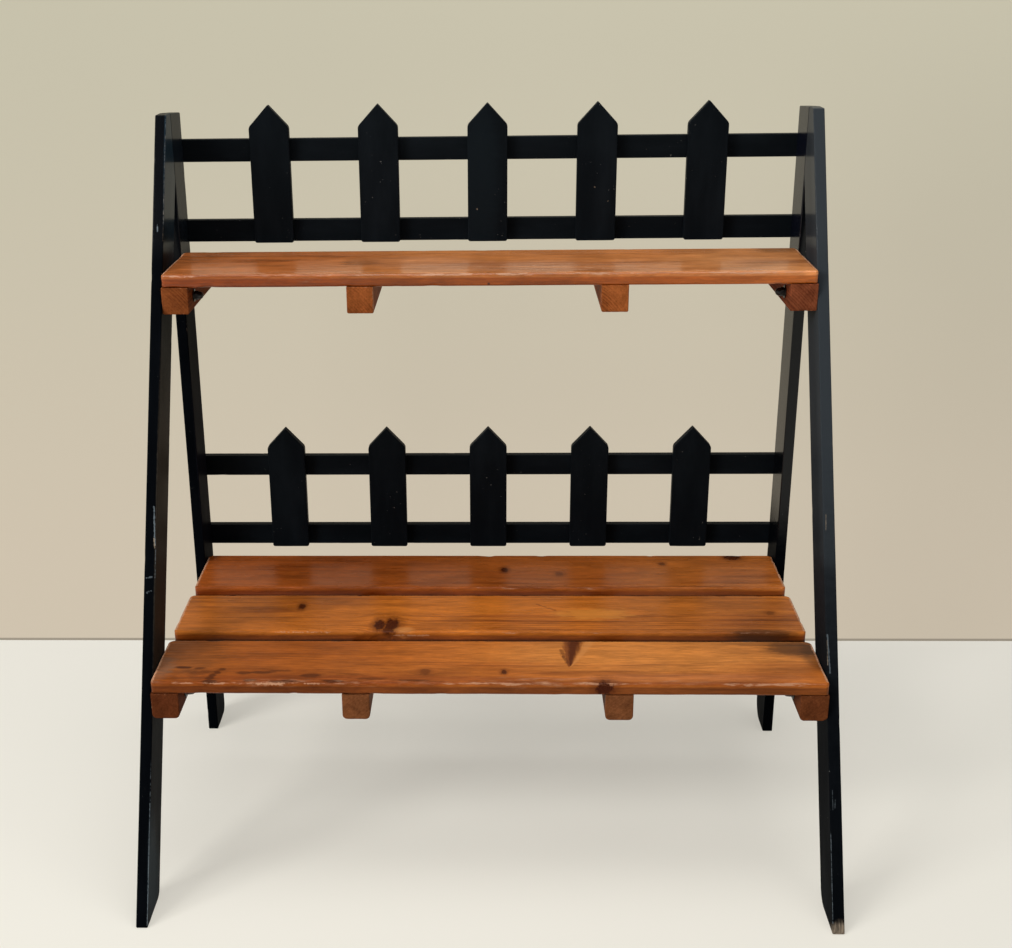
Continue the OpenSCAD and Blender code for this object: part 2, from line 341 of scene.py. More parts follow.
def knot() -> NodeGroup:
    """A knot, the darker wood round it, and the grain that bends past it.

    Returns:
        The node group.
    """
    effect = Effect(
        "Knot", {"Coordinates": VECTOR, "Centre": VECTOR, "Half Size": VECTOR, "Bend": FLOAT},
        {"Shift": VECTOR, "Core": FLOAT, "Halo": FLOAT, "Rings": FLOAT},
    )
    g, inside = effect.graph, effect.inside
    place, half_size = inside["Coordinates"], inside["Half Size"]
    ratio = g.vector("DIVIDE", g.vector("SUBTRACT", place, inside["Centre"]), half_size)
    rough = g.noise(place, (260.0, 150.0, 260.0), 3.0, 0.65)
    distance = g.plus(g.vector("LENGTH", ratio), g.swing(rough, 1.3))
    rings = g.step(g.math("SINE", g.times(distance, 17.0)), -0.3, 0.9)
    along, across, _ = g.axes(ratio)
    near = g.plus(g.times(g.math("POWER", along, 2.0), 0.12), g.times(g.math("POWER", across, 2.0), 0.25))
    pull = g.math("EXPONENT", g.times(near, -1.0))
    side = g.math("DIVIDE", across, g.plus(g.math("ABSOLUTE", across), 0.7))
    push = g.times(g.times(pull, side), g.times(g.axes(half_size)[1], inside["Bend"]))
    return effect.give(
        Shift=g.add("CombineXYZ", {1: g.times(push, -1.0)}).outputs[0], Core=g.step(distance, 0.62, 1.2, 1.0, 0.0),
        Halo=g.step(distance, 0.8, 2.4, 1.0, 0.0), Rings=rings,
    )


def spike_knot() -> NodeGroup:
    """A spike knot, cut along its branch: a dark wedge that narrows from the board's edge to a tip.

    Returns:
        The node group.
    """
    inputs = {"Coordinates": VECTOR, "Root": VECTOR, "Tip": VECTOR, "Half Width": FLOAT}
    effect = Effect("SpikeKnot", inputs, {"Core": FLOAT, "Rim": FLOAT})
    g, inside = effect.graph, effect.inside
    place = inside["Coordinates"]
    share, aside = from_line(g, place, inside["Root"], inside["Tip"], False)
    rough = g.swing(g.noise(place, (260.0, 60.0, 60.0), 3.0, 0.6), 0.7)
    taper = g.math("POWER", g.math("SUBTRACT", 1.0, share, clamp=True), 0.8)
    narrow = g.plus(g.times(inside["Half Width"], taper), 0.0003)
    ratio = g.plus(g.math("DIVIDE", g.axes(aside)[0], narrow), rough)
    within = g.step(share, 0.93, 1.0, 1.0, 0.0)
    core = g.times(g.step(ratio, -1.2, -0.7), g.step(ratio, 0.0, 0.8, 1.0, 0.0), within)
    rim = g.times(g.step(ratio, 0.3, 0.8), g.step(ratio, 0.95, 1.3, 1.0, 0.0), within)
    return effect.give(Core=core, Rim=rim)


def patch() -> NodeGroup:
    """A soft-edged round patch, for stains, bare places, tones, and painted shade, shadows, sheens and reflections.

    Returns:
        The node group.
    """
    inputs = {"Coordinates": VECTOR, "Centre": VECTOR, "Size": VECTOR, "Ragged": FLOAT}
    effect = Effect("Patch", inputs, {"Mask": FLOAT})
    g, inside = effect.graph, effect.inside
    place = inside["Coordinates"]
    away = g.vector("DIVIDE", g.vector("SUBTRACT", place, inside["Centre"]), inside["Size"])
    rough = g.swing(g.noise(place, (60.0, 160.0, 160.0), 3.0, 0.6), inside["Ragged"])
    return effect.give(Mask=g.step(g.plus(g.vector("LENGTH", away), rough), 0.45, 1.1, 1.0, 0.0))


def scratch() -> NodeGroup:
    """A broken line between two points, for scratches, cracks and rubbed arrises.

    Returns:
        The node group.
    """
    inputs = {"Coordinates": VECTOR, "Start": VECTOR, "End": VECTOR, "Width": FLOAT, "Broken": FLOAT}
    effect = Effect("Scratch", inputs, {"Mask": FLOAT})
    g, inside = effect.graph, effect.inside
    place = inside["Coordinates"]
    _, aside = from_line(g, place, inside["Start"], inside["End"], True)
    rough = g.noise(place, (330.0, 330.0, 330.0), 3.0, 0.6)
    reach = g.times(inside["Width"], g.step(rough, g.times(inside["Broken"], 0.6), 0.72))
    return effect.give(Mask=g.step(g.vector("LENGTH", aside), g.times(reach, 0.35), g.plus(reach, 0.00002), 1.0, 0.0))


def edge_wear() -> NodeGroup:
    """Wear along the arrises, from the arris value that the meshes carry.

    Returns:
        The node group.
    """
    inputs = {"Coordinates": VECTOR, "Arris": FLOAT, "Reach": FLOAT, "Grain": VECTOR}
    effect = Effect("EdgeWear", inputs, {"Mask": FLOAT})
    g, inside = effect.graph, effect.inside
    place, arris = inside["Coordinates"], inside["Arris"]
    rough = g.noise(place, inside["Grain"], 5.0, 0.72)
    spread = g.noise(place, (9.0, 9.0, 9.0), 1.0)
    level = g.plus(arris, g.swing(rough, 3.2), g.swing(spread, 1.8))
    limit = g.math("SUBTRACT", 1.75, inside["Reach"])
    return effect.give(Mask=g.times(g.step(level, limit, g.plus(limit, 0.45)), g.step(arris, 0.05, 0.35)))


def brush_marks() -> NodeGroup:
    """The fine ridges and uneven gloss of brushed paint or varnish.

    Returns:
        The node group.
    """
    inputs = {"Coordinates": VECTOR, "Gloss": FLOAT, "Uneven": FLOAT}
    effect = Effect("BrushMarks", inputs, {"Height": FLOAT, "Roughness": FLOAT})
    g, inside = effect.graph, effect.inside
    place = inside["Coordinates"]
    ridges = g.noise(place, (9.0, 420.0, 420.0), 3.0, 0.55)
    swell = g.noise(place, (5.0, 26.0, 26.0))
    cloud = g.noise(place, (11.0, 30.0, 30.0), 3.0, 0.6)
    rough = g.math("ADD", inside["Gloss"], g.swing(cloud, inside["Uneven"]), clamp=True)
    return effect.give(Height=g.plus(ridges, g.times(swell, 3.0)), Roughness=rough)


@dataclass(frozen=True)
class Effects:
    """The shared node groups."""

    grain: NodeGroup = field(default_factory=pine_grain)
    knot: NodeGroup = field(default_factory=knot)
    spike: NodeGroup = field(default_factory=spike_knot)
    patch: NodeGroup = field(default_factory=patch)
    scratch: NodeGroup = field(default_factory=scratch)
    wear: NodeGroup = field(default_factory=edge_wear)
    brush: NodeGroup = field(default_factory=brush_marks)


EFFECTS = Effects()


def new_material(name: str) -> tuple[Material, Graph, bpy.types.Node]:
    """Makes a material with its Principled shader.

    Args:
        name: The material's name.

    Returns:
        The material, its graph and its Principled node.
    """
    material = bpy.data.materials.new(name)
    material.use_nodes = True
    return material, Graph(material.node_tree), material.node_tree.nodes["Principled BSDF"]


def surface(
    g: Graph, shader: bpy.types.Node, colour: Setting, rough: Setting, height: Setting, strength: float, depth: float,
) -> None:
    """Feeds a Principled shader's colour, roughness and bump.

    Args:
        g: The material's graph.
        shader: Its Principled node.
        colour: The base colour.
        rough: The roughness.
        height: The bump's height.
        strength: The bump's strength.
        depth: The bump's depth.
    """
    bump = g.add("Bump", {"Strength": strength, "Distance": depth, "Height": height})
    g.feed(shader.inputs["Base Color"], colour)
    g.feed(shader.inputs["Roughness"], rough)
    g.feed(shader.inputs["Normal"], bump.outputs[0])


# Finishes


@dataclass(frozen=True)
class KnotMark:
    """A knot in a board, by its place in the stand and its half size along, across and through the board."""

    at: Point
    half_size: Point
    bend: float = 1.2
    depth: float = 0.9


@dataclass(frozen=True)
class SpikeMark:
    """A spike knot, from its root at the board's edge to its tip."""

    root: Point
    tip: Point
    half_width: float
    tone: Colour = (0.16, 0.036, 0.008)
    rim: float = 0.5


@dataclass(frozen=True)
class PatchMark:
    """A soft patch, used for stains, bare places, tones, and painted shade, shadows, sheens and reflections."""

    at: Point
    size: Point
    strength: float = 0.6
    ragged: float = 0.7
    tone: Colour = (0.035, 0.014, 0.007)

    def shape(self, g: Graph, place: Socket) -> Socket:
        """Gives the patch's shape at its full strength."""
        return g.group(EFFECTS.patch, Coordinates=place, Centre=self.at, Size=self.size, Ragged=self.ragged)[0]

    def mask(self, g: Graph, place: Socket) -> Socket:
        """Gives the patch's mask."""
        return g.times(self.shape(g, place), self.strength)


@dataclass(frozen=True)
class ScratchMark:
    """A scratch, a crack or a rubbed line between two points."""

    start: Point
    end: Point
    width: float = 0.0012
    broken: float = 0.5
    strength: float = 0.8

    def mask(self, g: Graph, place: Socket) -> Socket:
        """Gives the line's mask.

        Args:
            g: The graph that the nodes go into.
            place: The place in the stand.

        Returns:
            The mask.
        """
        line = g.group(
            EFFECTS.scratch, Coordinates=place, Start=self.start, End=self.end, Width=self.width, Broken=self.broken,
        )
        return g.times(line[0], self.strength)


@dataclass(frozen=True)
class StainedPine:
    """Orange-brown stained pine under worn satin varnish."""

    name: str
    light: Colour
    dark: Colour
    pith: Point
    ring_spacing: float = 0.0042
    waviness: float = 0.02
    contrast: float = 0.5
    streaks: float = 0.75
    gloss: float = 0.36
    edge_reach: float = 0.6
    specular: float = 0.22
    worn: Colour = (0.53, 0.275, 0.155)
    core: Colour = (0.05, 0.0075, 0.0012)
    crack: Colour = (0.11, 0.026, 0.006)
    rim: Colour = (0.62, 0.25, 0.07)
    # Painted shade: multipliers that darken the side faces and the front arris as the light falls on them, and
    # foot_shade, the darkening of the faces' foot.
    painted_face_shade: Colour = (1.0, 1.0, 1.0)
    painted_arris_shade: Colour = (1.0, 1.0, 1.0)
    foot_shade: float = 0.0
    rear_wear: float = 1.0
    knots: tuple[KnotMark, ...] = ()
    spikes: tuple[SpikeMark, ...] = ()
    checks: tuple[ScratchMark, ...] = ()
    # Multiplying patches: painted shade and painted sheen where the light falls unevenly, and some of the wood's own
    # tone.
    tone_and_painted_light: tuple[PatchMark, ...] = ()
    # Mixed patches: real stains, and painted shadows, sheens and reflections.
    stains_and_painted_light: tuple[PatchMark, ...] = ()
    rubbed: tuple[PatchMark, ...] = ()
    # Pale lines laid in as wear; those along the boards' ends and a batten's arris are painted highlights.
    pale_lines: tuple[ScratchMark, ...] = ()

    def knotted(self, g: Graph, place: Socket, grain: Socket) -> tuple[Setting, Setting, Socket]:
        """Lays the knots into the grain.

        Args:
            g: The material's graph.
            place: The place in the stand.
            grain: The place in the wood.

        Returns:
            The knots' cores and halos, and the place in the wood as the grain bends past them.
        """
        core, halo = 0.0, 0.0
        for mark in self.knots:
            node = g.group(EFFECTS.knot, Coordinates=place, Centre=mark.at, Half_Size=mark.half_size, Bend=mark.bend)
            grain = g.vector("ADD", grain, node["Shift"])
            inner = g.times(node["Core"], g.rest(g.times(node["Rings"], 0.15)))
            core = g.math("MAXIMUM", core, g.times(inner, mark.depth))
            halo = g.math("MAXIMUM", halo, g.times(node["Halo"], mark.depth))
        return core, halo, grain

    def shaded(self, g: Graph, colour: Socket, grain: Socket, arris: Socket) -> Socket:
        """Paints shade into the wood: darker side faces, a darker front arris and a darker foot, by the place across
        the piece and through its depth.

        Args:
            g: The material's graph.
            colour: The wood's colour.
            grain: The place in the wood.
            arris: How near an arris is.

        Returns:
            The colour.
        """
        _, across, deep = g.axes(grain)
        # Painted shade on the side faces, then on the front arris, then at the foot of the faces.
        colour = g.blend(g.step(deep, -0.0065, -0.0025, 1.0, 0.0), colour, self.painted_face_shade, "MULTIPLY")
        front = g.step(across, -0.01, 0.01, 1.0, 0.0)
        edge = g.times(g.step(arris, 0.1, 0.8), front, g.step(deep, -0.008, -0.005))
        colour = g.blend(edge, colour, self.painted_arris_shade, "MULTIPLY")
        return g.blend(g.step(deep, -0.0135, -0.0085, self.foot_shade, 0.0), colour, BLACK)

    def marked(self, g: Graph, colour: Socket, place: Socket, core: Setting, halo: Setting) -> Socket:
        """Lays the multiplying tone patches, with their painted shade and sheen, then the knots, spike knots and
        cracks, and the stains with the painted shadows, sheens and reflections over the wood.

        Args:
            g: The material's graph.
            colour: The wood's colour.
            place: The place in the stand.
            core: The knots' cores.
            halo: The knots' halos.

        Returns:
            The colour.
        """
        # Painted light and shade: multiplying patches darken or lighten the wood; a few are the wood's own tone.
        for mark in self.tone_and_painted_light:
            colour = g.blend(mark.mask(g, place), colour, mark.tone, "MULTIPLY")
        if self.knots:
            colour = g.blend(g.times(halo, 0.6), colour, tuple(c * 0.6 for c in self.dark))
            colour = g.blend(core, colour, self.core)
        for mark in self.spikes:
            node = g.group(EFFECTS.spike, Coordinates=place, Root=mark.root, Tip=mark.tip, Half_Width=mark.half_width)
            colour = g.blend(g.times(node["Rim"], mark.rim), colour, self.rim)
            colour = g.blend(g.times(node["Core"], 0.85), colour, mark.tone)
        for mark in self.checks:
            colour = g.blend(mark.mask(g, place), colour, self.crack)
        # Stains, and painted shadows, sheens and reflections mixed into the colour.
        for mark in self.stains_and_painted_light:
            colour = g.blend(mark.mask(g, place), colour, mark.tone)
        return colour

    def wear(self, g: Graph, place: Socket, grain: Socket, arris: Socket, core: Setting) -> Socket:
        """Tells where the varnish and the stain are rubbed away, and where the pale lines lie, some of them painted
        arris highlights.

        Args:
            g: The material's graph.
            place: The place in the stand.
            grain: The place in the wood.
            arris: How near an arris is.
            core: The knots' cores, which stay dark.

        Returns:
            The mask.
        """
        inputs = {"Coordinates": grain, "Arris": arris, "Reach": self.edge_reach, "Grain": (38.0, 200.0, 200.0)}
        worn = g.times(
            g.group(EFFECTS.wear, **inputs)[0], g.step(g.axes(grain)[1], -0.01, 0.01, 1.0, self.rear_wear),
        )
        for mark in self.rubbed:
            fibres = g.step(g.noise(grain, (38.0, 190.0, 190.0), 5.0, 0.72), 0.46, 0.72)
            worn = g.math("MAXIMUM", worn, g.times(mark.shape(g, place), fibres, mark.strength))
        # Pale lines: rubbed arrises, and painted highlights along the boards' ends and a batten's arris.
        for mark in self.pale_lines:
            worn = g.math("MAXIMUM", worn, mark.mask(g, place))
        return g.times(worn, g.rest(core))

    def build(self) -> Material:
        """Builds the material.

        Returns:
            The material.
        """
        material, g, shader = new_material(self.name)
        grain, arris, place = g.carried("grain", "Vector"), g.carried("arris", "Fac"), g.place()
        core, halo, bent = self.knotted(g, place, grain)
        wood = g.group(
            EFFECTS.grain, Coordinates=bent, Ring_Spacing=self.ring_spacing, Pith=self.pith, Waviness=self.waviness,
            Contrast=self.contrast, Streaks=self.streaks, Light=self.light, Dark=self.dark,
        )
        colour = self.shaded(g, wood["Color"], grain, arris)
        colour = self.marked(g, colour, place, core, halo)
        worn = self.wear(g, place, grain, arris, core)
        colour = g.blend(g.times(worn, 0.75), colour, self.worn)
        brush = g.group(EFFECTS.brush, Coordinates=grain, Gloss=self.gloss, Uneven=0.3)
        rough = g.math("ADD", brush["Roughness"], g.times(worn, 0.2), clamp=True)
        height = g.plus(g.times(wood["Fibre"], 0.5), g.times(wood["Late"], 0.8), g.times(brush["Height"], 0.5))
        height = g.math("SUBTRACT", height, g.times(worn, 1.6))
        surface(g, shader, colour, rough, height, 0.5, 0.00022)
        shader.inputs["Specular IOR Level"].default_value = self.specular
        return material


@dataclass(frozen=True)
class BlackPaint:
    """Black gloss paint brushed on wood, rubbed through at the arrises."""

    name: str
    base: Colour = (0.0014, 0.0019, 0.0028)
    bare: Colour = (0.33, 0.26, 0.19)
    # Bluish grey of the pale arris lines: scuffs and painted highlights.
    scuff_and_highlight: Colour = (0.15, 0.18, 0.2)
    dust: Colour = (0.3, 0.29, 0.27)
    gloss: float = 0.42
    sheen_roughness: float = 0.16
    edge_reach: float = 0.12
    specular: float = 0.02
    scratches: tuple[ScratchMark, ...] = ()
    scuffs_and_highlights: tuple[ScratchMark, ...] = ()
    # Painted reflections: pale hazes mixed into the paint's colour where its gloss would reflect the wall and the
    # shelves.
    painted_reflections: tuple[PatchMark, ...] = ()
    glossy: tuple[PatchMark, ...] = ()
    bare_places: tuple[PatchMark, ...] = ()

    def painted(self, g: Graph, place: Socket, grain: Socket) -> Socket:
        """Gives the paint's colour with its specks, its painted reflections, and its scuffs and painted arris
        highlights.

        Args:
            g: The material's graph.
            place: The place in the stand.
            grain: The place in the wood.

        Returns:
            The colour.
        """
        speck = g.noise(place, (420.0, 420.0, 420.0), 1.0)
        spread = g.noise(place, (30.0, 30.0, 30.0), 1.0)
        specks = g.times(g.step(speck, 0.765, 0.8), g.step(spread, 0.55, 0.6))
        film = g.noise(grain, (6.0, 24.0, 24.0), 4.0, 0.65)
        colour = g.blend(g.step(film, 0.35, 0.8), self.base, tuple(c * 1.7 + 0.0008 for c in self.base))
        colour = g.blend(g.times(specks, 0.5), colour, self.dust)
        # Painted reflections laid into the colour.
        for mark in self.painted_reflections:
            colour = g.blend(mark.mask(g, place), colour, mark.tone)
        # Pale lines along the arrises: scuffs, and painted highlights of the arrises.
        for mark in self.scuffs_and_highlights:
            colour = g.blend(mark.mask(g, place), colour, self.scuff_and_highlight)
        return colour

    def build(self) -> Material:
        """Builds the material.

        Returns:
            The material.
        """
        material, g, shader = new_material(self.name)
        grain, arris, place = g.carried("grain", "Vector"), g.carried("arris", "Fac"), g.place()
        inputs = {"Coordinates": grain, "Arris": arris, "Reach": self.edge_reach, "Grain": (60.0, 160.0, 160.0)}
        bare = g.group(EFFECTS.wear, **inputs)[0]
        for mark in (*self.scratches, *self.bare_places):
            bare = g.math("MAXIMUM", bare, mark.mask(g, place))
        fibres = g.step(g.noise(grain, (60.0, 700.0, 700.0), 3.0, 0.6), 0.4, 0.62)
        wood = g.blend(fibres, self.bare, tuple(c * 0.35 for c in self.bare))
        colour = g.blend(bare, self.painted(g, place, grain), wood)
        brush = g.group(EFFECTS.brush, Coordinates=grain, Gloss=self.gloss, Uneven=0.22)
        rough = g.math("ADD", brush["Roughness"], g.times(bare, 0.45), clamp=True)
        height = g.math("SUBTRACT", g.times(brush["Height"], 0.5), g.times(bare, 1.2))
        surface(g, shader, colour, rough, height, 0.45, 0.00016)
        shader.inputs["Specular IOR Level"].default_value = self.specular
        coat = 0.0
        for mark in self.glossy:
            coat = g.math("MAXIMUM", coat, g.step(mark.shape(g, place), 0.35, 0.65, 0.0, mark.strength))
        if self.glossy:
            g.feed(shader.inputs["Coat Weight"], g.times(coat, g.rest(bare)))
            shader.inputs["Coat Roughness"].default_value = self.sheen_roughness
        return material


@dataclass(frozen=True)
class Steel:
    """Fastener steel, with a fine tumbled surface."""

    name: str
    base: Colour
    tone: Colour
    rough: float

    def build(self) -> Material:
        """Builds the material.

        Returns:
            The material.
        """
        material, g, shader = new_material(self.name)
        place = g.place()
        cloud = g.noise(place, (240.0, 240.0, 240.0), 4.0, 0.6)
        fine = g.noise(place, (1900.0, 1900.0, 1900.0))
        colour = g.blend(g.step(cloud, 0.35, 0.7), self.base, self.tone)
        surface(g, shader, colour, g.plus(self.rough, g.times(cloud, 0.2)), fine, 0.3, 0.00005)
        shader.inputs["Metallic"].default_value = 1.0
        return material


@dataclass(frozen=True)
class Beech:
    """Plain beech of the hidden dowels."""

    name: str
    base: Colour = (0.62, 0.42, 0.23)
    fleck: Colour = (0.4, 0.24, 0.12)
    rough: float = 0.6

    def build(self) -> Material:
        """Builds the material.

        Returns:
            The material.
        """
        material, g, shader = new_material(self.name)
        flecks = g.noise(g.place(), (900.0, 60.0, 900.0), 3.0)
        colour = g.blend(g.step(flecks, 0.4, 0.75), self.base, self.fleck)
        surface(g, shader, colour, self.rough, flecks, 0.4, 0.0001)
        return material


# Meshes


@dataclass(frozen=True)
class Wear:
    """How far an arris departs from its drawn radius."""

    ripple: float = 0.25
    chips_per_m: float = 5.0
    chip_depth: float = 0.0012
    chip_half_length: float = 0.006
    waves: tuple[int, ...] = (7, 13, 29, 53, 97)
    seed: int = 1


@dataclass(frozen=True)
class Corner:
    """A corner of an outline, and its fillet's radius."""

    u: float
    v: float
    fillet: float = 0.0008


def box_corners(left: float, right: float, low: float, high: float, *fillets: float) -> list[Corner]:
    """Gives a rectangle's corners, anticlockwise from the lower left, with its fillets below and above."""
    below, above = fillets or (Corner.fillet, Corner.fillet)
    return [Corner(left, low, below), Corner(right, low, below), Corner(right, high, above), Corner(left, high, above)]


@dataclass
class WornPlate:
    """A plate with a convex outline and softened, worn arrises round both of its faces."""

    corners: list[Corner]
    low: float
    high: float
    lie: Lie
    arris: tuple[float, ...]
    wear: Wear
    guard: float = 0.005
    step: float = 0.004
    fillet_segments: int = 4
    arris_segments: int = 4
    low_wear: float = 1.0
    least_arris: float = 0.35
    most_guard: float = 0.85
    low_seed: int = 500
    weld: float = 2e-6

    def outline(self) -> dict[str, np.ndarray]:
        """Samples the outline with its fillets.

        Returns:
            Arrays for each sample: its point and outward normal; its fillet's centre, inset direction and
            radius, or on a straight side the side's start, direction and infinity; its arris radius; how its
            side is trimmed as it moves in; and its length along the outline.
        """
        points = [np.array((c.u, c.v)) for c in self.corners]
        count = len(points)
        sides = []
        for i, corner in enumerate(self.corners):
            before, at, after = points[i - 1], points[i], points[(i + 1) % count]
            back, on = (before - at) / np.linalg.norm(before - at), (after - at) / np.linalg.norm(after - at)
            half = math.acos(float(np.clip(back @ on, -1, 1))) / 2
            sides.append((at, back, on, half, (back + on) / np.linalg.norm(back + on), corner.fillet))
        rows = []
        for i, (at, back, on, half, inward, fillet) in enumerate(sides):
            centre, lean = at + inward * fillet / math.sin(half), inward / math.sin(half)
            normal_in, normal_out = np.array((-back[1], back[0])), np.array((on[1], -on[0]))
            cross = normal_in[0] * normal_out[1] - normal_in[1] * normal_out[0]
            turn = math.atan2(cross, float(normal_in @ normal_out))
            this_arris, last_arris = self.arris[i % len(self.arris)], self.arris[(i - 1) % len(self.arris)]
            for k in range(self.fillet_segments + 1):
                share = k / self.fillet_segments
                c, s = math.cos(turn * share), math.sin(turn * share)
                normal = np.array((normal_in[0] * c - normal_in[1] * s, normal_in[0] * s + normal_in[1] * c))
                radius = last_arris * (1 - share) + this_arris * share
                rows.append((centre + normal * fillet, normal, centre, lean, fillet, radius, (0.0, 0.0, 0.0, 0.0)))
            following, _, _, next_half, _, next_fillet = sides[(i + 1) % count]
            long = float(np.linalg.norm(following - at))
            start, end = fillet / math.tan(half), long - next_fillet / math.tan(next_half)
            pieces = max(1, int((end - start) / self.step))
            for k in range(1, pieces):
                reach = start + (end - start) * k / pieces
                trim = (reach, long, 1 / math.tan(half), 1 / math.tan(next_half))
                rows.append((at + on * reach, normal_out, at, on, np.inf, this_arris, trim))
        names = ("point", "normal", "centre", "lean", "fillet", "arris", "trim")
        samples = {name: np.array([row[i] for row in rows], float) for i, name in enumerate(names)}
        gaps = np.linalg.norm(np.diff(samples["point"], axis=0), axis=1)
        samples["length"] = np.concatenate(([0.0], np.cumsum(gaps)))
        return samples

    def worn_radius(self, samples: dict[str, np.ndarray], seed: int) -> np.ndarray:
        """Gives the arris radius at each sample, with its ripples and chips.

        Args:
            samples: The outline's samples.
            seed: Seed of the random draws.

        Returns:
            The radii.
        """
        rng = np.random.RandomState(seed)
        length, total = samples["length"], float(samples["length"][-1]) + self.step
        ripple = np.zeros(len(length))
        for wave in self.wear.waves:
            ripple += np.sin(2 * math.pi * (wave * length / total + rng.rand())) / math.sqrt(wave)
        radius = samples["arris"] * (1 + self.wear.ripple * ripple)
        for _ in range(int(total * self.wear.chips_per_m)):
            middle, half = rng.rand() * total, self.wear.chip_half_length * (0.4 + rng.rand())
            depth = self.wear.chip_depth * (0.3 + 0.7 * rng.rand())
            radius += depth * np.clip(1 - ((length - middle) / half) ** 2, 0, None)
        return np.clip(radius, self.least_arris * samples["arris"], self.guard * self.most_guard)

    @staticmethod
    def inset(samples: dict[str, np.ndarray], distance: np.ndarray) -> np.ndarray:
        """Moves the outline inwards.

        Args:
            samples: The outline's samples.
            distance: How far each sample moves.

        Returns:
            The moved points.
        """
        d, fillet = distance[:, None], samples["fillet"][:, None]
        centre, lean, normal = samples["centre"], samples["lean"], samples["normal"]
        reach, long, first, last = samples["trim"].T
        kept = np.minimum(np.maximum(reach, distance * first), long - distance * last)[:, None]
        with np.errstate(invalid="ignore"):
            rounded = np.where(d < fillet, centre + normal * (fillet - d), centre + lean * (d - fillet))
        return np.where(np.isinf(fillet), centre + lean * kept - normal * d, rounded)

    def rings(self) -> list[tuple[np.ndarray, np.ndarray, float]]:
        """Gives the rings of points from the high face, over both arrises, to the low face.

        Returns:
            Each ring's points in the outline's plane, their levels, and the ring's arris value.
        """
        samples = self.outline()
        count = len(samples["point"])
        faces = (1, self.high, self.wear.seed, 1.0), (-1, self.low, self.wear.seed + self.low_seed, self.low_wear)
        parts = []
        for sign, level, seed, share in faces:
            radius = self.worn_radius(samples, seed)
            part = [(self.inset(samples, np.full(count, self.guard)), np.full(count, level), 0.0)]
            for k in range(self.arris_segments + 1):
                angle = math.pi / 2 * k / self.arris_segments
                inset = self.inset(samples, radius * (1 - math.sin(angle)))
                value = share * (0.25 + 0.75 * math.sin(2 * angle))
                part.append((inset, level - sign * radius * (1 - math.cos(angle)), value))
            parts.append(part)
        middle = (self.inset(samples, np.zeros(count)), np.full(count, (self.low + self.high) / 2), 0.0)
        return [*parts[0], middle, *parts[1][::-1]]

    def build(self, name: str) -> Piece:
        """Builds the mesh, with an arris value at each vertex.

        Args:
            name: The piece's name.

        Returns:
            The object, linked to the scene.
        """
        bm = bmesh.new()
        layer = bm.verts.layers.float.new("arris")
        loops = []
        for flat, depth, value in self.rings():
            loop = []
            for (u, v), w in zip(flat, depth):
                at = [0.0, 0.0, 0.0]
                for axis, amount in zip(self.lie.value, (u, v, w)):
                    at[axis] = float(amount)
                vertex = bm.verts.new(at)
                vertex[layer] = value
                loop.append(vertex)
            loops.append(loop)
        for first, second in zip(loops, loops[1:]):
            for i in range(len(first)):
                j = (i + 1) % len(first)
                bm.faces.new((first[i], first[j], second[j], second[i]))
        bm.faces.new(loops[0][::-1])
        bm.faces.new(loops[-1])
        bmesh.ops.remove_doubles(bm, verts=bm.verts[:], dist=self.weld)
        bmesh.ops.dissolve_degenerate(bm, edges=bm.edges[:], dist=self.weld / 2)
        bmesh.ops.recalc_face_normals(bm, faces=bm.faces[:])
        return place_mesh(name, finished(bm, name))


def finished(bm: bmesh.types.BMesh, name: str) -> bpy.types.Mesh:
    """Turns a bmesh into a mesh and frees it.

    Args:
        bm: The bmesh.
        name: The mesh's name.

    Returns:
        The mesh.
    """
    mesh = bpy.data.meshes.new(name)
    bm.to_mesh(mesh)
    bm.free()
    return mesh


def place_mesh(name: str, mesh: bpy.types.Mesh) -> Piece:
    """Links a mesh to the scene as an object.

    Args:
        name: The object's name.
        mesh: Its mesh.

    Returns:
        The object.
    """
    piece = bpy.data.objects.new(name, mesh)
    bpy.context.scene.collection.objects.link(piece)
    return piece


def smooth(piece: Piece, sharp_deg: float = 40.0) -> None:
    """Shades a piece smoothly, with its flat faces kept flat.

    Args:
        piece: The object.
        sharp_deg: Edges sharper than this stay sharp.
    """
    piece.data.polygons.foreach_set("use_smooth", [True] * len(piece.data.polygons))
    piece.data.set_sharp_from_angle(angle=math.radians(sharp_deg))
    modifier = piece.modifiers.new("WeightedNormal", "WEIGHTED_NORMAL")
    modifier.keep_sharp = True
    modifier.weight = 60


def set_grain(piece: Piece, along: Point, across: Point, origin: Point) -> None:
    """Writes each vertex's place in the piece's own wood.

    Args:
        piece: The object.
        along: Direction of the grain.
        across: Direction across the piece.
        origin: The point where the wood's coordinates are 0.
    """
    mesh = piece.data
    points = np.zeros(len(mesh.vertices) * 3, np.float32)
    mesh.vertices.foreach_get("co", points)
    axes = np.array((along, across, np.cross(along, across)), float)
    local = (points.reshape(-1, 3) - np.array(origin)) @ axes.T
    attribute = mesh.attributes.new("grain", "FLOAT_VECTOR", "POINT")
    attribute.data.foreach_set("vector", local.astype(np.float32).ravel())


def ring_faces(rows: int, segments: int) -> list[list[int]]:
    """Joins rows of points round an axis into a closed body.

    Args:
        rows: How many rows there are.
        segments: How many points each row has.

    Returns:
        The faces, with the two ends last.
    """
    faces = []
    for row in range(rows - 1):
        for k in range(segments):
            n = (k + 1) % segments
            faces.append([row * segments + k, row * segments + n, (row + 1) * segments + n, (row + 1) * segments + k])
    faces.append(list(range(segments))[::-1])
    faces.append([(rows - 1) * segments + k for k in range(segments)])
    return faces


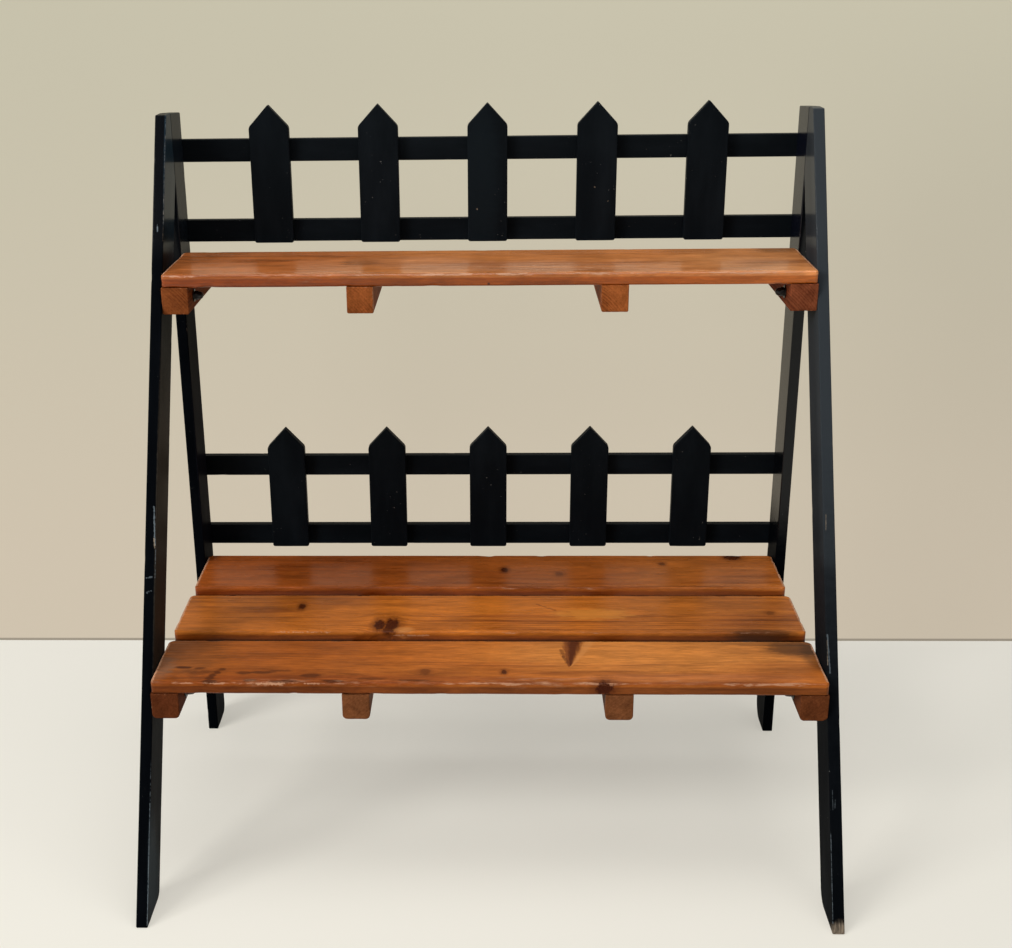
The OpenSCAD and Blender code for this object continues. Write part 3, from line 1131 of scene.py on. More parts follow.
def lathe(profile: list[tuple[float, float]], segments: int) -> Solid:
    """Turns a profile round the Z axis.

    Args:
        profile: Radius and height pairs, from the first end to the last.
        segments: Steps round the axis.

    Returns:
        Vertices and faces, closed at both ends.
    """
    angles = [2 * math.pi * k / segments for k in range(segments)]
    points = [(radius * math.cos(a), radius * math.sin(a), z) for radius, z in profile for a in angles]
    return points, ring_faces(len(profile), segments)


def carve(piece: Piece, cutters: list[Piece]) -> None:
    """Cuts holes into a piece and removes the cutters.

    Args:
        piece: The object to cut.
        cutters: Closed meshes that are taken out of it.
    """
    for cutter in cutters:
        modifier = piece.modifiers.new("Hole", "BOOLEAN")
        modifier.operation = "DIFFERENCE"
        modifier.solver = "EXACT"
        modifier.object = cutter
    bpy.context.view_layer.update()
    evaluated = piece.evaluated_get(bpy.context.evaluated_depsgraph_get())
    mesh = bpy.data.meshes.new_from_object(evaluated)
    piece.modifiers.clear()
    piece.data = mesh
    for cutter in cutters:
        bpy.data.objects.remove(cutter)


def repeated(name: str, solid: Solid, places: list[Matrix]) -> Piece:
    """Makes one mesh of the same body at several places.

    Args:
        name: The object's name.
        solid: The body's vertices and faces.
        places: A matrix for each copy.

    Returns:
        The object.
    """
    all_points, all_faces = [], []
    for place in places:
        start = len(all_points)
        all_points.extend(tuple(place @ Vector(p)) for p in solid[0])
        all_faces.extend([start + i for i in face] for face in solid[1])
    mesh = bpy.data.meshes.new(name)
    mesh.from_pydata(all_points, [], all_faces)
    mesh.validate()
    bm = bmesh.new()
    bm.from_mesh(mesh)
    bpy.data.meshes.remove(mesh)
    bmesh.ops.remove_doubles(bm, verts=bm.verts[:], dist=1e-7)
    bmesh.ops.recalc_face_normals(bm, faces=bm.faces[:])
    return place_mesh(name, finished(bm, name))


def turned(name: str, profile: list[tuple[float, float]], places: list[Matrix]) -> Piece:
    """Makes one mesh of turned bodies at several places."""
    return repeated(name, lathe(profile, 32), places)


def turn_to(direction: Point, at: Point) -> Matrix:
    """Gives the matrix that lays the Z axis along a direction."""
    return Matrix.Translation(Vector(at)) @ Vector(direction).to_track_quat("Z", "Y").to_matrix().to_4x4()


def centre(node: str) -> Vector:
    """Gives the middle of a CAD node's box."""
    low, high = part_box(node)
    return (low + high) / 2


def screw_rows(tier: str) -> list[float]:
    """Gives the Y of each row of a tier's board screws."""
    boxes = [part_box(board) for board in BOARDS[tier]]
    return [y for low, high in boxes for y in (low.y + BOARD_SCREW_INSET, high.y - BOARD_SCREW_INSET)]


def front_leg_run(low: Vector, high: Vector) -> tuple[float, float]:
    """Gives how far a front leg's edge runs back from toe to top, and its width on a level cut."""
    run = high.y - TOP_REACH - low.y
    return run, LEG_WIDTH / math.cos(math.atan(run / high.z))


def dress(piece: Piece, material: Material, node: str) -> None:
    """Gives a new piece its material and body, in place of its CAD node.

    Args:
        piece: The object.
        material: Its material.
        node: The CAD node that it stands for.
    """
    piece.data.materials.clear()
    piece.data.materials.append(material)
    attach(piece, BODY)
    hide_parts(node)
    LOG.info("%s: %d faces, stands for %s", piece.name, len(piece.data.polygons), node)


def dress_node(node: str, material: Material) -> None:
    """Gives a CAD node that stays its material.

    Args:
        node: The node's name.
        material: Its material.
    """
    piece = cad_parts[node]
    piece.data.materials.clear()
    piece.data.materials.append(material)
    LOG.info("%s: CAD solid kept", node)


# Sub-assemblies


@dataclass
class Shelf:
    """One tier: its boards and the four battens under them."""

    tier: str
    finishes: list[StainedPine]
    batten_finish: StainedPine
    seed: int
    batten_corner: float = 0.0022
    sawn_corner: float = 0.0006
    batten_arrises: tuple[float, ...] = (0.0014, 0.0012, 0.0007, 0.0012)
    board_arrises: tuple[float, ...] = (0.004, 0.0016, 0.0015, 0.0016)
    front_corner: float = 0.005
    rear_corner: float = 0.008
    bore_radius: float = 0.0041
    bore_depth: float = 0.009
    bore_start: float = -0.002
    batten_seed: int = 20
    wood_step: float = 0.37

    def build_board(self, node: str, finish: StainedPine, seed: int) -> None:
        """Builds a board with rounded, worn long edges.

        Args:
            node: The CAD node that it stands for.
            finish: Its wood.
            seed: Seed of its wear.
        """
        low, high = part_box(node)
        corners = box_corners(low.x, high.x, low.y, high.y, self.front_corner, self.rear_corner)
        wear = Wear(ripple=0.16, chips_per_m=9.0, chip_depth=0.0022, chip_half_length=0.009, seed=seed)
        piece = WornPlate(
            corners, low.z, high.z, Lie.FLAT, self.board_arrises, wear, guard=0.012, step=0.003,
            fillet_segments=8, arris_segments=6, low_wear=0.3,
        ).build(node + "_worn")
        set_grain(piece, (1.0, 0.0, 0.0), (0.0, 1.0, 0.0), (0.0, (low.y + high.y) / 2, high.z))
        smooth(piece)
        dress(piece, finish.build(), node)

    def build_batten(self, node: str, seed: int, wood: Material) -> None:
        """Builds a batten with softened arrises and the screws' counterbores underneath.

        Args:
            node: The CAD node that it stands for.
            seed: Seed of its wear and its wood.
            wood: Its material.
        """
        low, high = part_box(node)
        corners = box_corners(low.x, high.x, low.z, high.z, self.batten_corner, self.sawn_corner)
        wear = Wear(ripple=0.2, chips_per_m=8.0, chip_depth=0.0014, seed=seed)
        plate = WornPlate(corners, low.y, high.y, Lie.FRONT, self.batten_arrises, wear, fillet_segments=7)
        piece = plate.build(node + "_worn")
        middle = (low.x + high.x) / 2
        profile = [(self.bore_radius, self.bore_start), (self.bore_radius, self.bore_depth)]
        carve(piece, [turned("bore", profile, [Matrix.Translation((middle, y, low.z))]) for y in screw_rows(self.tier)])
        set_grain(piece, (0.0, 1.0, 0.0), (-1.0, 0.0, 0.0), (middle, low.y + self.wood_step * seed, high.z))
        smooth(piece)
        dress(piece, wood, node)

    def build(self) -> None:
        """Builds the tier's boards and battens."""
        for offset, (node, finish) in enumerate(zip(BOARDS[self.tier], self.finishes)):
            self.build_board(node, finish, self.seed + offset)
        wood = self.batten_finish.build()
        for offset, name in enumerate(BATTENS):
            self.build_batten(f"{self.tier}_batten_{name}", self.seed + self.batten_seed + offset, wood)


@dataclass
class LegFrame:
    """The two side frames: an upright rear leg and a leaning front leg each, bevelled together at the top."""

    finishes: dict[str, BlackPaint]
    top_fall: float = 0.005
    left_heel: float = 0.014
    right_heel: float = 0.027
    top_corner: float = 0.002
    joint_corner: float = 0.0008
    arris: float = 0.0013
    wood_spacing: float = 3.0
    seed: int = 61

    def heel(self, low: Vector) -> float:
        """Gives the heel's radius: the right legs are rounded more."""
        return self.left_heel if low.x < 0.0 else self.right_heel

    def front_outline(self, low: Vector, high: Vector) -> list[Corner]:
        """Outline of a front leg in Y and Z.

        Args:
            low: The CAD node's lowest corner.
            high: Its highest corner.

        Returns:
            The corners, anticlockwise from the toe.
        """
        run, cut = front_leg_run(low, high)
        joint_z = (high.y - low.y - cut) * high.z / run
        return [
            Corner(low.y, low.z, self.top_corner), Corner(low.y + cut, low.z, self.heel(low)),
            Corner(high.y, joint_z, 0.001), Corner(high.y, high.z, self.joint_corner),
            Corner(high.y - TOP_REACH, high.z, self.top_corner),
        ]

    def rear_outline(self, low: Vector, high: Vector) -> list[Corner]:
        """Outline of a rear leg in Y and Z.

        Args:
            low: The CAD node's lowest corner.
            high: Its highest corner.

        Returns:
            The corners, anticlockwise from the foot's front.
        """
        return [
            Corner(low.y, low.z, 0.0015), Corner(high.y, low.z, self.heel(low)),
            Corner(high.y, high.z - self.top_fall, self.top_corner), Corner(low.y, high.z, self.joint_corner),
        ]

    def build(self) -> None:
        """Builds the four legs."""
        for offset, (node, finish) in enumerate(self.finishes.items()):
            low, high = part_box(node)
            front = node.startswith("front")
            corners = self.front_outline(low, high) if front else self.rear_outline(low, high)
            wear = Wear(ripple=0.22, chip_depth=0.0011, seed=self.seed + offset)
            plate = WornPlate(corners, low.x, high.x, Lie.SIDE, (self.arris,), wear, fillet_segments=6)
            piece = plate.build(node + "_painted")
            lean = math.atan(front_leg_run(low, high)[0] / high.z) if front else 0.0
            rise, back = math.cos(lean), math.sin(lean)
            set_grain(piece, (0.0, back, rise), (0.0, rise, -back), (0.0, low.y, self.wood_spacing * offset))
            smooth(piece)
            dress(piece, finish.build(), node)


@dataclass
class Fence:
    """A low picket fence: five pointed pickets on two rails."""

    tier: str
    paint: Material
    seed: int
    point: float = 0.028
    tip: float = 0.0012
    shoulder: float = 0.008
    foot_corner: float = 0.003
    arris: float = 0.0011
    sink_wide: float = 0.0041
    sink_narrow: float = 0.0021
    sink_depth: float = 0.0025
    sink_over: float = 0.0008
    hole_depth: float = 0.02
    picket_wood: float = -0.7
    rail_wood: float = 0.3

    def build_picket(self, number: int) -> None:
        """Builds a pointed picket.

        Args:
            number: Its number, from the left.
        """
        node = f"{self.tier}_picket_{number}"
        low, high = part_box(node)
        corners = box_corners(low.x, high.x, low.z, high.z - self.point, self.foot_corner, self.shoulder)
        corners.insert(3, Corner((low.x + high.x) / 2, high.z, self.tip))
        wear = Wear(chip_depth=0.0009, chip_half_length=0.005, seed=self.seed + number)
        plate = WornPlate(corners, low.y, high.y, Lie.FRONT, (self.arris,), wear, fillet_segments=6)
        piece = plate.build(node + "_painted")
        set_grain(piece, (0.0, 0.0, 1.0), (1.0, 0.0, 0.0), (0.0, 0.0, self.picket_wood * number))
        smooth(piece)
        dress(piece, self.paint, node)

    def build_rail(self, place: str, screws_x: list[float]) -> None:
        """Builds a rail with its countersunk holes at the back.

        Args:
            place: Which rail, bottom or top.
            screws_x: Where its screws are.
        """
        node = f"{self.tier}_fence_rail_{place}"
        low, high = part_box(node)
        wear = Wear(ripple=0.2, chips_per_m=3.0, chip_depth=0.0008, seed=self.seed + len(place))
        corners = box_corners(low.x, high.x, low.z, high.z)
        piece = WornPlate(corners, low.y, high.y, Lie.FRONT, (self.arris,), wear).build(node + "_painted")
        middle = (low.z + high.z) / 2
        profile = [
            (self.sink_wide + self.sink_over, -self.sink_over), (self.sink_wide, 0.0),
            (self.sink_narrow, self.sink_depth), (self.sink_narrow, self.hole_depth),
        ]
        carve(piece, [turned("sink", profile, [turn_to(FORWARDS, (x, high.y, middle))]) for x in screws_x])
        set_grain(piece, (1.0, 0.0, 0.0), (0.0, 0.0, 1.0), (0.0, 0.0, self.rail_wood * len(node)))
        smooth(piece)
        dress(piece, self.paint, node)

    def build(self) -> None:
        """Builds the fence."""
        for number in PICKETS:
            self.build_picket(number)
        leg_x = centre("rear_leg_right").x
        screws_x = [*(centre(f"{self.tier}_picket_{number}").x for number in PICKETS), -leg_x, leg_x]
        for place in RAILS:
            self.build_rail(place, screws_x)


@dataclass
class Fasteners:
    """Carriage bolts, washers and cap nuts at the end battens, and the countersunk screws."""

    steel: Material
    zinc: Material
    beech: Material
    tiny: float = 0.0001
    bolt_radius: float = 0.003
    bolt_length: float = 0.0555
    head_radius: float = 0.007
    head_height: float = 0.0035
    head_steps: int = 9
    head_share: float = 0.97
    head_rim: tuple[float, float] = (0.0004, 0.00015)
    washer_radius: float = 0.008
    washer_thickness: float = 0.0015
    washer_soft: float = 0.0003
    washer_segments: int = 40
    nut_flats: float = 0.010
    nut_hex: float = 0.005
    nut_dome: float = 0.006
    nut_chamfer: tuple[float, ...] = (0.0, 0.00015, 0.0003, 0.0005, 0.0008)
    nut_chamfer_deg: float = 60.0
    nut_segments: int = 72
    dome_steps: int = 8
    screw_head: float = 0.004
    screw_rim: float = 0.0002
    screw_shank: float = 0.002
    screw_point: float = 0.004
    sink: float = 0.0025
    board_screw_rise: float = 0.024
    recess_depth: float = 0.0018
    recess_over: float = 0.001
    recess_mouth: tuple[float, float] = (0.0023, 0.00045)
    recess_floor: tuple[float, float] = (0.0008, 0.0003)
    rail_screw: float = 0.040
    picket_screw: float = 0.020
    board_screw: float = 0.035

    def bolt_places(self) -> list[tuple[float, Point]]:
        """Where the bolts cross the legs.

        Returns:
            The side and the point on the leg's outer face, for each bolt.
        """
        places = []
        front_low, front_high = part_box("front_leg_right")
        run, cut = front_leg_run(front_low, front_high)
        for tier in BOARDS:
            low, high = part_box(f"{tier}_batten_right_end")
            z = (low.z + high.z) / 2
            for y in (front_low.y + run * z / front_high.z + cut / 2, high.y - LEG_WIDTH / 2):
                places.extend((side, (side * front_high.x, y, z)) for side in (-1.0, 1.0))
        return places

    def along_bolts(self, depth: float = 0.0) -> list[Matrix]:
        """Gives the bolts' matrices, from the legs' outer faces or a depth within them, pointing inwards."""
        inwards = Matrix.Translation((0.0, 0.0, depth))
        return [turn_to((-side, 0.0, 0.0), at) @ inwards for side, at in self.bolt_places()]

    def build_bolts(self) -> None:
        """Builds the bolts' domed heads and shanks."""
        radius, height, bolt = self.head_radius, self.head_height, self.bolt_radius
        sphere = (radius**2 + height**2) / (2 * height)
        profile = [(self.tiny, -height)]
        for k in range(1, self.head_steps + 1):
            angle = math.asin(radius * self.head_share / sphere) * k / self.head_steps
            profile.append((sphere * math.sin(angle), -height + sphere * (1 - math.cos(angle))))
        profile += [*((radius, -rim) for rim in self.head_rim), (radius * 0.98, 0.0), (bolt, 0.0)]
        profile += [(bolt, self.bolt_length - self.tiny), (self.tiny, self.bolt_length)]
        piece = turned("carriage_bolts", profile, self.along_bolts())
        smooth(piece, 35.0)
        dress(piece, self.steel, "shelf_bolts")

    def build_washers(self, depth: float) -> None:
        """Builds the washers with softened rims.

        Args:
            depth: From the leg's outer face to the washer's inner face.
        """
        radius, thickness, soft = self.washer_radius, self.washer_thickness, self.washer_soft
        hole = self.bolt_radius + self.tiny
        ring = [
            (hole, -thickness), (hole, 0.0), (radius - soft, 0.0), (radius, -soft), (radius, soft - thickness),
            (radius - soft, -thickness), (hole, -thickness),
        ]
        points, faces = lathe(ring, self.washer_segments)
        piece = repeated("bolt_washers_rimmed", (points, faces[:-2]), self.along_bolts(depth))
        smooth(piece, 35.0)
        dress(piece, self.steel, "bolt_washers")

    def build_nuts(self, depth: float) -> None:
        """Builds the cap nuts: chamfered hexagons with domed ends.

        Args:
            depth: From the leg's outer face to the nut's seat.
        """
        flat, slope, sixth = self.nut_flats / 2, math.tan(math.radians(self.nut_chamfer_deg)), math.pi / 3
        angles = [2 * math.pi * k / self.nut_segments for k in range(self.nut_segments)]
        rows = []
        for z in (*self.nut_chamfer, *(self.nut_hex - z for z in reversed(self.nut_chamfer))):
            cone = flat * 0.99 + min(z, self.nut_hex - z) * slope
            rows.append((z, [min(flat / math.cos((a + sixth / 2) % sixth - sixth / 2), cone) for a in angles]))
        dome = flat - self.tiny
        for k in range(self.dome_steps + 1):
            angle = math.pi / 2 * k / self.dome_steps
            radius = max(dome * math.cos(angle), self.tiny / 5)
            rows.append((self.nut_hex + self.nut_dome - dome + dome * math.sin(angle), [radius] * len(angles)))
        points = [(r * math.cos(a), r * math.sin(a), z) for z, radii in rows for r, a in zip(radii, angles)]
        solid = points, ring_faces(len(rows), self.nut_segments)
        piece = repeated("cap_nuts_chamfered", solid, self.along_bolts(depth))
        smooth(piece, 25.0)
        dress(piece, self.steel, "cap_nuts")

    def recess(self, across: bool) -> Piece:
        """Models one arm of a screw's cross recess.

        Args:
            across: Whether it lies along Y instead of X.

        Returns:
            The cutter.
        """
        bm = bmesh.new()
        bmesh.ops.create_cube(bm, size=1.0)
        for vertex in bm.verts:
            deep = vertex.co.z > 0
            long, wide = self.recess_floor if deep else self.recess_mouth
            x, y = math.copysign(long, vertex.co.x), math.copysign(wide, vertex.co.y)
            vertex.co = Vector((*((y, x) if across else (x, y)), self.recess_depth if deep else -self.recess_over))
        bmesh.ops.recalc_face_normals(bm, faces=bm.faces[:])
        return place_mesh("cross", finished(bm, "cross"))

    def screw_body(self, length: float) -> Solid:
        """Models one countersunk screw with its cross recess.

        Args:
            length: The screw's length.

        Returns:
            Vertices and faces, with the head's face at Z 0.
        """
        head, shank = self.screw_head, self.screw_shank
        profile = [
            (head, 0.0), (head, self.screw_rim), (shank, self.sink), (shank, length - self.screw_point),
            (shank / 4, length),
        ]
        body = turned("screw", profile, [Matrix.Identity(4)])
        carve(body, [self.recess(False), self.recess(True)])
        points = [tuple(v.co) for v in body.data.vertices]
        faces = [list(p.vertices) for p in body.data.polygons]
        bpy.data.objects.remove(body)
        return points, faces

    def board_screw_places(self, tier: str) -> list[Matrix]:
        """Where a tier's board screws start, inside the battens.

        Args:
            tier: The tier.

        Returns:
            A matrix for each screw.
        """
        places = []
        for name in BATTENS:
            low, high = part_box(f"{tier}_batten_{name}")
            middle, start = (low.x + high.x) / 2, high.z - self.board_screw_rise
            places.extend(Matrix.Translation((middle, y, start)) for y in screw_rows(tier))
        return places

    def build_screws(self) -> None:
        """Builds the rail, picket and board screws."""
        back, leg_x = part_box("upper_fence_rail_top")[1].y, centre("rear_leg_right").x
        heights = [centre(f"{tier}_fence_rail_{place}").z for tier in BOARDS for place in RAILS]
        pickets = [centre(f"upper_picket_{number}").x for number in PICKETS]
        behind = {"rail_screws": (self.rail_screw, (-leg_x, leg_x)), "picket_screws": (self.picket_screw, pickets)}
        rows = {
            node: (length, [turn_to(FORWARDS, (x, back, z)) for z in heights for x in across])
            for node, (length, across) in behind.items()
        }
        for tier in BOARDS:
            rows[f"{tier}_board_screws"] = (self.board_screw, self.board_screw_places(tier))
        for node, (length, places) in rows.items():
            piece = repeated(node + "_crossed", self.screw_body(length), places)
            smooth(piece, 35.0)
            dress(piece, self.zinc, node)

    def build(self) -> None:
        """Builds every fastener and dresses the hidden dowels."""
        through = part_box("front_leg_right")[1].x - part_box("upper_batten_right_end")[0].x
        self.build_bolts()
        self.build_washers(through + self.washer_thickness)
        self.build_nuts(through + self.washer_thickness)
        self.build_screws()
        dress_node("leg_joint_dowels", self.beech)


# Studio and camera


@dataclass(frozen=True)
class PhotoCamera:
    """The camera at the photograph's place, angle and framing."""

    width_px: float = 1012.0
    height_px: float = 948.0
    focal_px: float = 1465.5
    centre_px: tuple[float, float] = (441.9, 521.6)
    location: Point = (0.0080, -1.7001, 1.0713)
    heading_deg: float = -2.181
    pitch_deg: float = 21.269
    roll_deg: float = -0.831
    sensor_mm: float = 36.0

    def build(self) -> None:
        """Builds the camera and makes it the scene's."""
        heading, pitch, roll = (math.radians(a) for a in (self.heading_deg, self.pitch_deg, self.roll_deg))
        ahead = Vector((math.sin(heading) * math.cos(pitch), math.cos(heading) * math.cos(pitch), -math.sin(pitch)))
        level = Vector((math.cos(heading), -math.sin(heading), 0.0))
        right = math.cos(roll) * level + math.sin(roll) * level.cross(ahead)
        data = bpy.data.cameras.new("photo_camera")
        data.sensor_width = self.sensor_mm
        data.lens = self.focal_px / self.width_px * self.sensor_mm
        data.shift_x = (self.width_px / 2 - self.centre_px[0]) / self.width_px
        data.shift_y = (self.centre_px[1] - self.height_px / 2) / self.width_px
        camera = bpy.data.objects.new("photo_camera", data)
        bpy.context.scene.collection.objects.link(camera)
        turn = Matrix((right, right.cross(ahead), -ahead)).transposed().to_4x4()
        camera.matrix_world = Matrix.Translation(Vector(self.location)) @ turn
        bpy.context.scene.camera = camera


@dataclass(frozen=True)
class Lamp:
    """A soft area lamp."""

    name: str
    at: Point
    aim: Point
    size: tuple[float, float]
    watts: float

    def build(self) -> None:
        """Builds the lamp."""
        data = bpy.data.lights.new(self.name, "AREA")
        data.shape = "RECTANGLE"
        data.size, data.size_y = self.size
        data.energy = self.watts
        lamp = bpy.data.objects.new(self.name, data)
        lamp.location = self.at
        lamp.rotation_euler = (Vector(self.aim) - Vector(self.at)).to_track_quat("-Z", "Y").to_euler()
        bpy.context.scene.collection.objects.link(lamp)


@dataclass(frozen=True)
class Studio:
    """Pale floor, beige wall behind with painted light and a painted shadow, and plain soft light."""

    floor: Colour = (0.885, 0.85, 0.755)
    floor_glow: float = 0.5
    floor_far_glow: float = 0.85
    wall_top: Colour = (0.578, 0.543, 0.417)
    # The wall's foot is lighter: painted bounce light from the floor.
    wall_foot_painted_bounce: Colour = (0.655, 0.57, 0.447)
    wall_glow: float = 0.84
    # Painted light: the wall gets lighter from left to right; wall_shade is a painted shadow on its right.
    wall_left_light: float = 0.98
    wall_right_light: float = 1.04
    wall_shade: float = 0.1
    wall_line: float = 0.005
    wall_line_shade: float = 0.45
    wall_y: float = 0.504
    wall_turn_deg: float = 0.156
    half_width: float = 30.0
    wall_height: float = 5.0
    far: tuple[float, float] = (1.6, 4.5)
    sky: Colour = (0.93, 0.96, 1.0)
    sky_strength: float = 0.22
    lamps: tuple[Lamp, ...] = (
        Lamp("overhead_lamp", (0.15, -0.2, 3.0), (0.0, 0.0, 0.4), (2.2, 1.8), 42.0),
        Lamp("key_lamp", (-2.33, -2.16, 2.85), (0.0, 0.0, 0.4), (1.0, 1.0), 46.0),
        Lamp("side_lamp", (-3.2, -1.9, 2.1), (0.3, 0.4, 0.45), (0.9, 0.9), 50.0),
    )

    def sheet(self, name: str, corners: list[Point], material: Material) -> None:
        """Builds one flat sheet of the studio.

        Args:
            name: Its name.
            corners: Its four corners.
            material: Its material.
        """
        mesh = bpy.data.meshes.new(name)
        mesh.from_pydata(corners, [], [(0, 1, 2, 3)])
        piece = place_mesh(name, mesh)
        mesh.materials.append(material)

    @staticmethod
    def seen(g: Graph) -> Socket:
        """Tells whether a ray comes from the camera, or from a reflection or a clear material."""
        path = g.add("LightPath").outputs
        return g.chain("MAXIMUM", path["Is Glossy Ray"], path["Is Transmission Ray"], path["Is Camera Ray"])

    def matt(self, name: str, rough: float, specular: float) -> tuple[Material, Graph, bpy.types.Node]:
        """Makes a matt material.

        Args:
            name: Its name.
            rough: Its roughness.
            specular: Its specular level.

        Returns:
            The material, its graph and its Principled node.
        """
        material, g, shader = new_material(name)
        shader.inputs["Roughness"].default_value = rough
        shader.inputs["Specular IOR Level"].default_value = specular
        return material, g, shader

    def floor_material(self) -> Material:
        """Builds the floor's pale matt material, which the camera sees with softened shadows.

        Returns:
            The material.
        """
        material, g, shader = self.matt("studio_floor", 0.8, 0.1)
        shader.inputs["Base Color"].default_value = (*self.floor, 1.0)
        glow = g.add("Emission", {"Color": self.floor, "Strength": 1.0}).outputs[0]
        share = g.step(g.vector("LENGTH", g.place()), *self.far, self.floor_glow, self.floor_far_glow)
        mix = g.add("MixShader", {0: g.times(self.seen(g), share), 1: shader.outputs[0], 2: glow})
        g.feed(material.node_tree.nodes["Material Output"].inputs["Surface"], mix.outputs[0])
        return material

    def wall_material(self) -> Material:
        """Builds the wall's material: one-sided, and seen only by the camera and in reflections.

        Returns:
            The material.
        """
        material, g, shader = self.matt("studio_wall", 0.9, 0.05)
        across, _, height = g.axes(g.place())
        # Painted light and shade: lighter at the foot and towards the right, with a painted shadow on the right at mid
        # height.
        colour = g.blend(g.step(height, 0.0, 1.1), self.wall_foot_painted_bounce, self.wall_top)
        level = g.step(across, -0.8, 0.2, self.wall_left_light, self.wall_right_light)
        shade = g.times(g.step(across, 0.25, 0.8), g.step(height, 0.7, 1.1, self.wall_shade, 0.0))
        colour = g.blend(1.0, colour, g.grey(g.math("SUBTRACT", level, shade)), "MULTIPLY")
        # A painted contact shadow along the wall's foot.
        line = g.step(height, self.wall_line * 0.7, self.wall_line, self.wall_line_shade, 0.0)
        colour = g.blend(line, colour, BLACK)
        g.feed(shader.inputs["Base Color"], colour)
        glow = g.add("Emission", {"Color": colour, "Strength": 1.0}).outputs[0]
        share = g.step(g.math("ABSOLUTE", across), *self.far, self.wall_glow, 1.0)
        lit = g.add("MixShader", {0: share, 1: shader.outputs[0], 2: glow}).outputs[0]
        front = g.rest(g.add("NewGeometry").outputs["Backfacing"])
        clear = g.add("BsdfTransparent").outputs[0]
        mix = g.add("MixShader", {0: g.times(self.seen(g), front), 1: clear, 2: lit})
        g.feed(material.node_tree.nodes["Material Output"].inputs["Surface"], mix.outputs[0])
        return material

    def build(self) -> None:
        """Builds the studio and sets the colour management."""
        w, turn = self.half_width, math.tan(math.radians(self.wall_turn_deg))
        self.sheet("studio_floor", [(-w, -w, 0.0), (w, -w, 0.0), (w, w, 0.0), (-w, w, 0.0)], self.floor_material())
        left, right = self.wall_y - w * turn, self.wall_y + w * turn
        corners = [(-w, left, 0.0), (w, right, 0.0), (w, right, self.wall_height), (-w, left, self.wall_height)]
        self.sheet("studio_wall", corners, self.wall_material())
        world = bpy.data.worlds.new("studio_sky")
        world.use_nodes = True
        g = Graph(world.node_tree)
        seen = g.add("LightPath").outputs["Is Camera Ray"]
        sky = world.node_tree.nodes["Background"]
        g.feed(sky.inputs["Color"], g.blend(seen, self.sky, self.wall_top))
        g.feed(sky.inputs["Strength"], g.plus(self.sky_strength, g.times(seen, 1.0 - self.sky_strength)))
        bpy.context.scene.world = world
        for lamp in self.lamps:
            lamp.build()
        bpy.context.scene.view_settings.view_transform = "Standard"


# The stand's own finishes


def patches(z: float, *rows: tuple) -> tuple[PatchMark, ...]:
    """Makes patches at one height from rows: X, Y, three half sizes, strength, raggedness and tone."""
    return tuple(PatchMark((x, y, z), (a, b, c), *others) for x, y, a, b, c, *others in rows)


def lines(z: float, *rows: tuple) -> tuple[ScratchMark, ...]:
    """Makes lines at one height from rows: X and Y of both ends, width, how broken it is and strength."""
    return tuple(ScratchMark((x, y, z), (end_x, end_y, z), *others) for x, y, end_x, end_y, *others in rows)


def knots(*rows: tuple) -> tuple[KnotMark, ...]:
    """Makes knots in the lower shelf's top from rows: X, Y, three half sizes, bend of the grain and depth."""
    return tuple(KnotMark((x, y, SHELF_TOP), (a, b, c), *others) for x, y, a, b, c, *others in rows)


def end_lines(low_y: float, high_y: float, top: float) -> tuple[ScratchMark, ...]:
    """Makes the pale lines along both ends of a board: painted highlights of the ends' arrises, laid into the wear
    mask.

    Args:
        low_y: The board's front edge.
        high_y: Its rear edge.
        top: Its top.

    Returns:
        The two lines.
    """
    end_x, front_gap, rear_gap, drop = 0.3989, 0.006, 0.01, 0.0004
    ends = ((x, low_y + front_gap, x, high_y - rear_gap, 0.0034, 0.15, 1.25) for x in (-end_x, end_x))
    return lines(top - drop, *ends)


def edge_lines(*rows: tuple) -> tuple[ScratchMark, ...]:
    """Makes lines on a front leg's sloping front edge.

    Args:
        *rows: X and Z of each line's two ends, then its width, how broken it is, and its strength.

    Returns:
        The lines.
    """
    toe_y, lean = -0.275, 0.453 / 0.885
    return tuple(
        ScratchMark((x, toe_y + lean * z, z), (end_x, toe_y + lean * end_z, end_z), *others)
        for x, z, end_x, end_z, *others in rows
    )


def inner_reflection(side: float, y: float, z: float, width: float, height: float, tone: Colour) -> PatchMark:
    """Makes a painted reflection, a pale haze, on a leg's inner face, by its side (-1 or 1), middle, half sizes and
    tone.
    """
    return PatchMark((side * 0.3998, y, z), (0.0035, width, height), 0.8, 0.5, tone)


def sheen(side: float, height: float, strength: float) -> tuple[PatchMark, ...]:
    """Makes the glossy zone at a leg's top, by its side (-1 or 1), half height and strength."""
    return (PatchMark((side * 0.4, 0.2, 0.9), (2.0, 2.0, height), strength, 0.05),)


